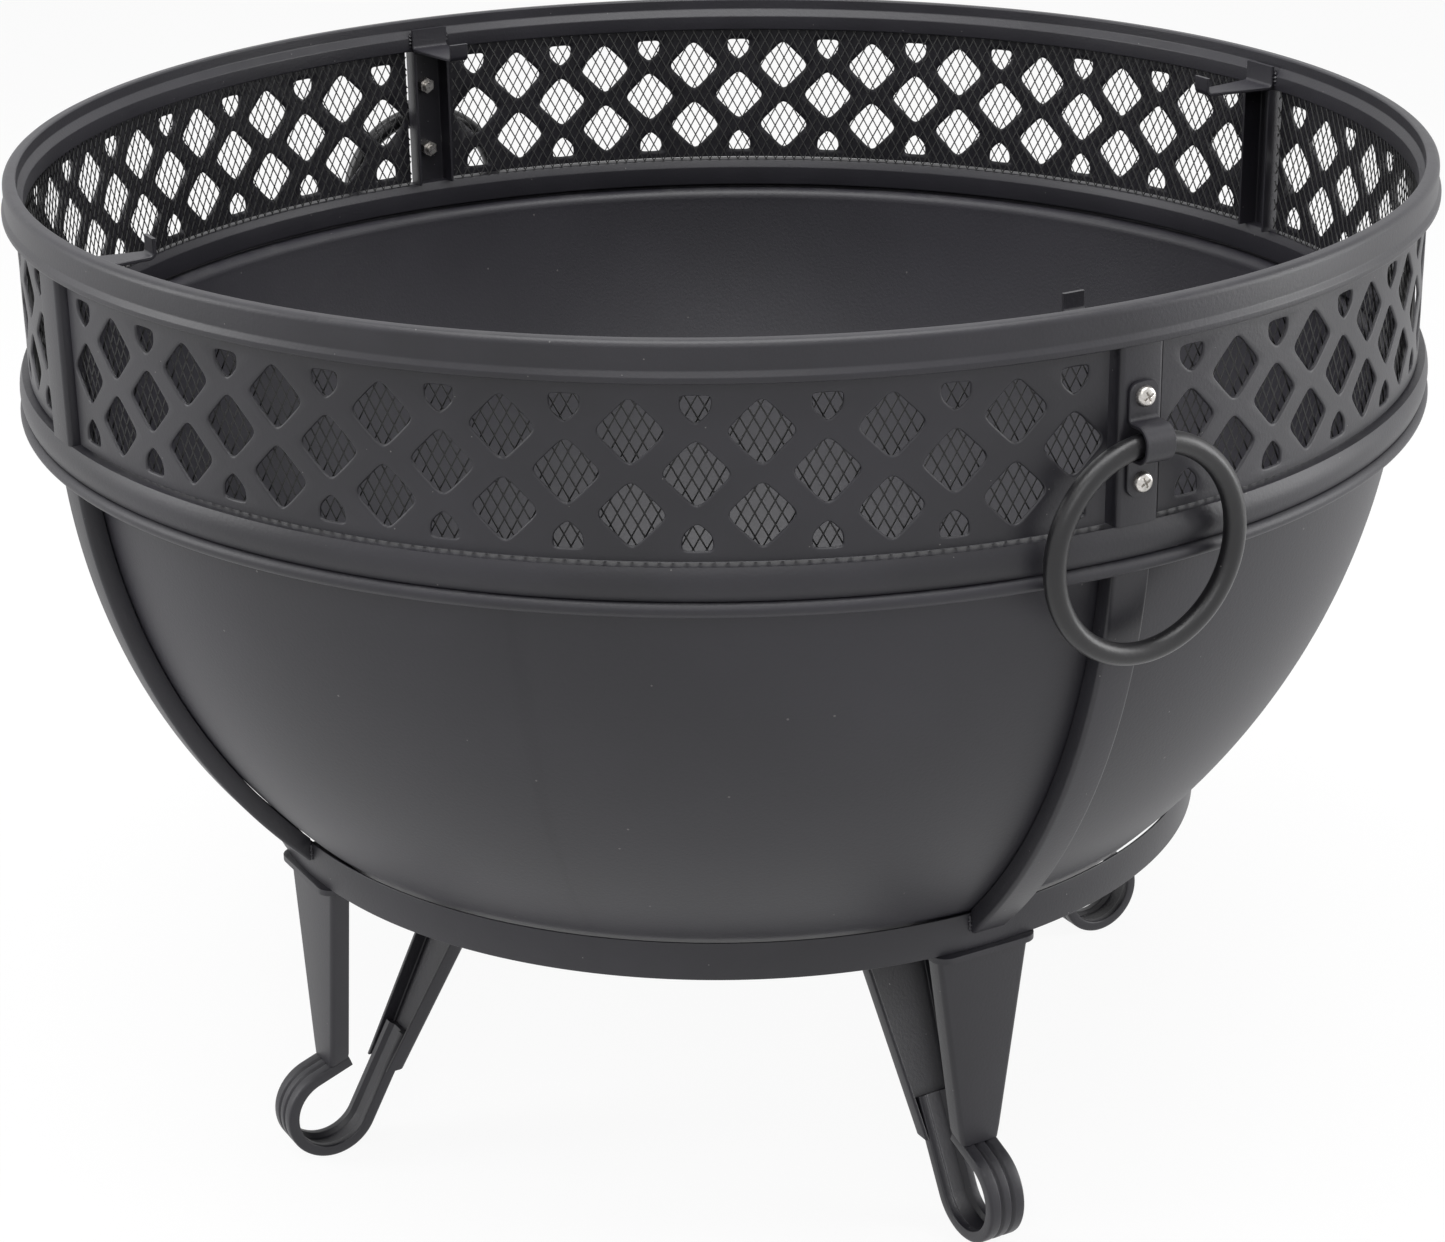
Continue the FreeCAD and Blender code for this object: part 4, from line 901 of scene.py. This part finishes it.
def paleFloor():
    # white to the eye and in reflections, but with enough plain surface left for a shadow
    finish = Finish("paleFloor", {"Roughness": 0.9, "Base Color": (0.8, 0.8, 0.8, 1)})
    glow = finish.node("ShaderNodeEmission", {}, {"Color": (1, 1, 1, 1), "Strength": 1.05})
    path = seenRay(finish)
    output = finish.nodes["Material Output"]
    mix = finish.node("ShaderNodeMixShader", {}, {0: path * 0.88, 2: glow})
    finish.links.new(finish.shader.outputs[0], mix.socket.node.inputs[1])
    finish.links.new(mix.socket, output.inputs["Surface"])
    return finish.material


floorMesh.materials.append(paleFloor())

skyLight = 0.16
world = bpy.data.worlds.new("studio")
bpy.context.scene.world = world
world.use_nodes = True


class Sky(Finish):
    # the world's own nodes, driven in the same way as a material's
    def __init__(self, tree):
        self.nodes, self.links = tree.nodes, tree.links


sky = Sky(world.node_tree)
background = world.node_tree.nodes["Background"]
background.inputs["Color"].default_value = (1, 1, 1, 1)
sky.put(background.inputs["Strength"], seenRay(sky) * (1 - skyLight) + skyLight)


def softbox(name, place, target, size, power):
    lamp = bpy.data.lights.new(name, "AREA")
    lamp.shape = "RECTANGLE"
    lamp.size, lamp.size_y = size
    lamp.energy = power
    holder = bpy.data.objects.new(name, lamp)
    bpy.context.scene.collection.objects.link(holder)
    look = Vector(target) - Vector(place)
    holder.matrix_world = Matrix.Translation(place) @ look.to_track_quat("-Z", "Y").to_matrix().to_4x4()


lamps = {
    "overhead": {"place": (0.3, -0.2, 2.4), "target": (0, 0, 0.3), "size": (2.0, 1.6), "power": 46},
    "rightStrip": {"place": (1.2, 1.9, 0.8), "target": (0, 0, 0.2), "size": (0.9, 1.6), "power": 24},
    "leftStrip": {"place": (-1.0, -2.0, 1.2), "target": (0, 0, 0.35), "size": (0.8, 1.6), "power": 22},
    "frontFill": {"place": (2.4, -1.6, 2.2), "target": (0, 0, 0.25), "size": (1.6, 1.2), "power": 14},
}
for name, lamp in lamps.items():
    softbox(name, **lamp)

view = {"distance": 1.6259, "height": 0.8960, "azimuth": -29.72, "pitch": 21.814, "yaw": -0.086,
        "roll": -0.8505, "lens": 82.1}


def placeCamera():
    # looks at the pit's axis from a distance, with a small yaw and roll
    azimuth = math.radians(view["azimuth"])
    pitch, yaw, roll = [math.radians(view[key]) for key in ("pitch", "yaw", "roll")]
    away = Vector((math.cos(azimuth), math.sin(azimuth), 0))
    sideways = Vector((-math.sin(azimuth), math.cos(azimuth), 0))
    ahead = (-away * math.cos(yaw) + sideways * math.sin(yaw)) * math.cos(pitch)
    ahead = ahead - Vector((0, 0, math.sin(pitch)))
    right = ahead.cross(Vector((0, 0, 1))).normalized()
    up = right.cross(ahead)
    leanRight = right * math.cos(roll) + up * math.sin(roll)
    leanUp = up * math.cos(roll) - right * math.sin(roll)
    camera = bpy.data.cameras.new("camera")
    camera.lens = view["lens"]
    camera.sensor_width = 36
    holder = bpy.data.objects.new("camera", camera)
    bpy.context.scene.collection.objects.link(holder)
    turn = Matrix((leanRight, leanUp, -ahead)).transposed().to_4x4()
    holder.matrix_world = Matrix.Translation(away * view["distance"]
                                             + Vector((0, 0, view["height"]))) @ turn
    bpy.context.scene.camera = holder


placeCamera()
bpy.context.scene.view_settings.view_transform = "Standard"
print("stage set")
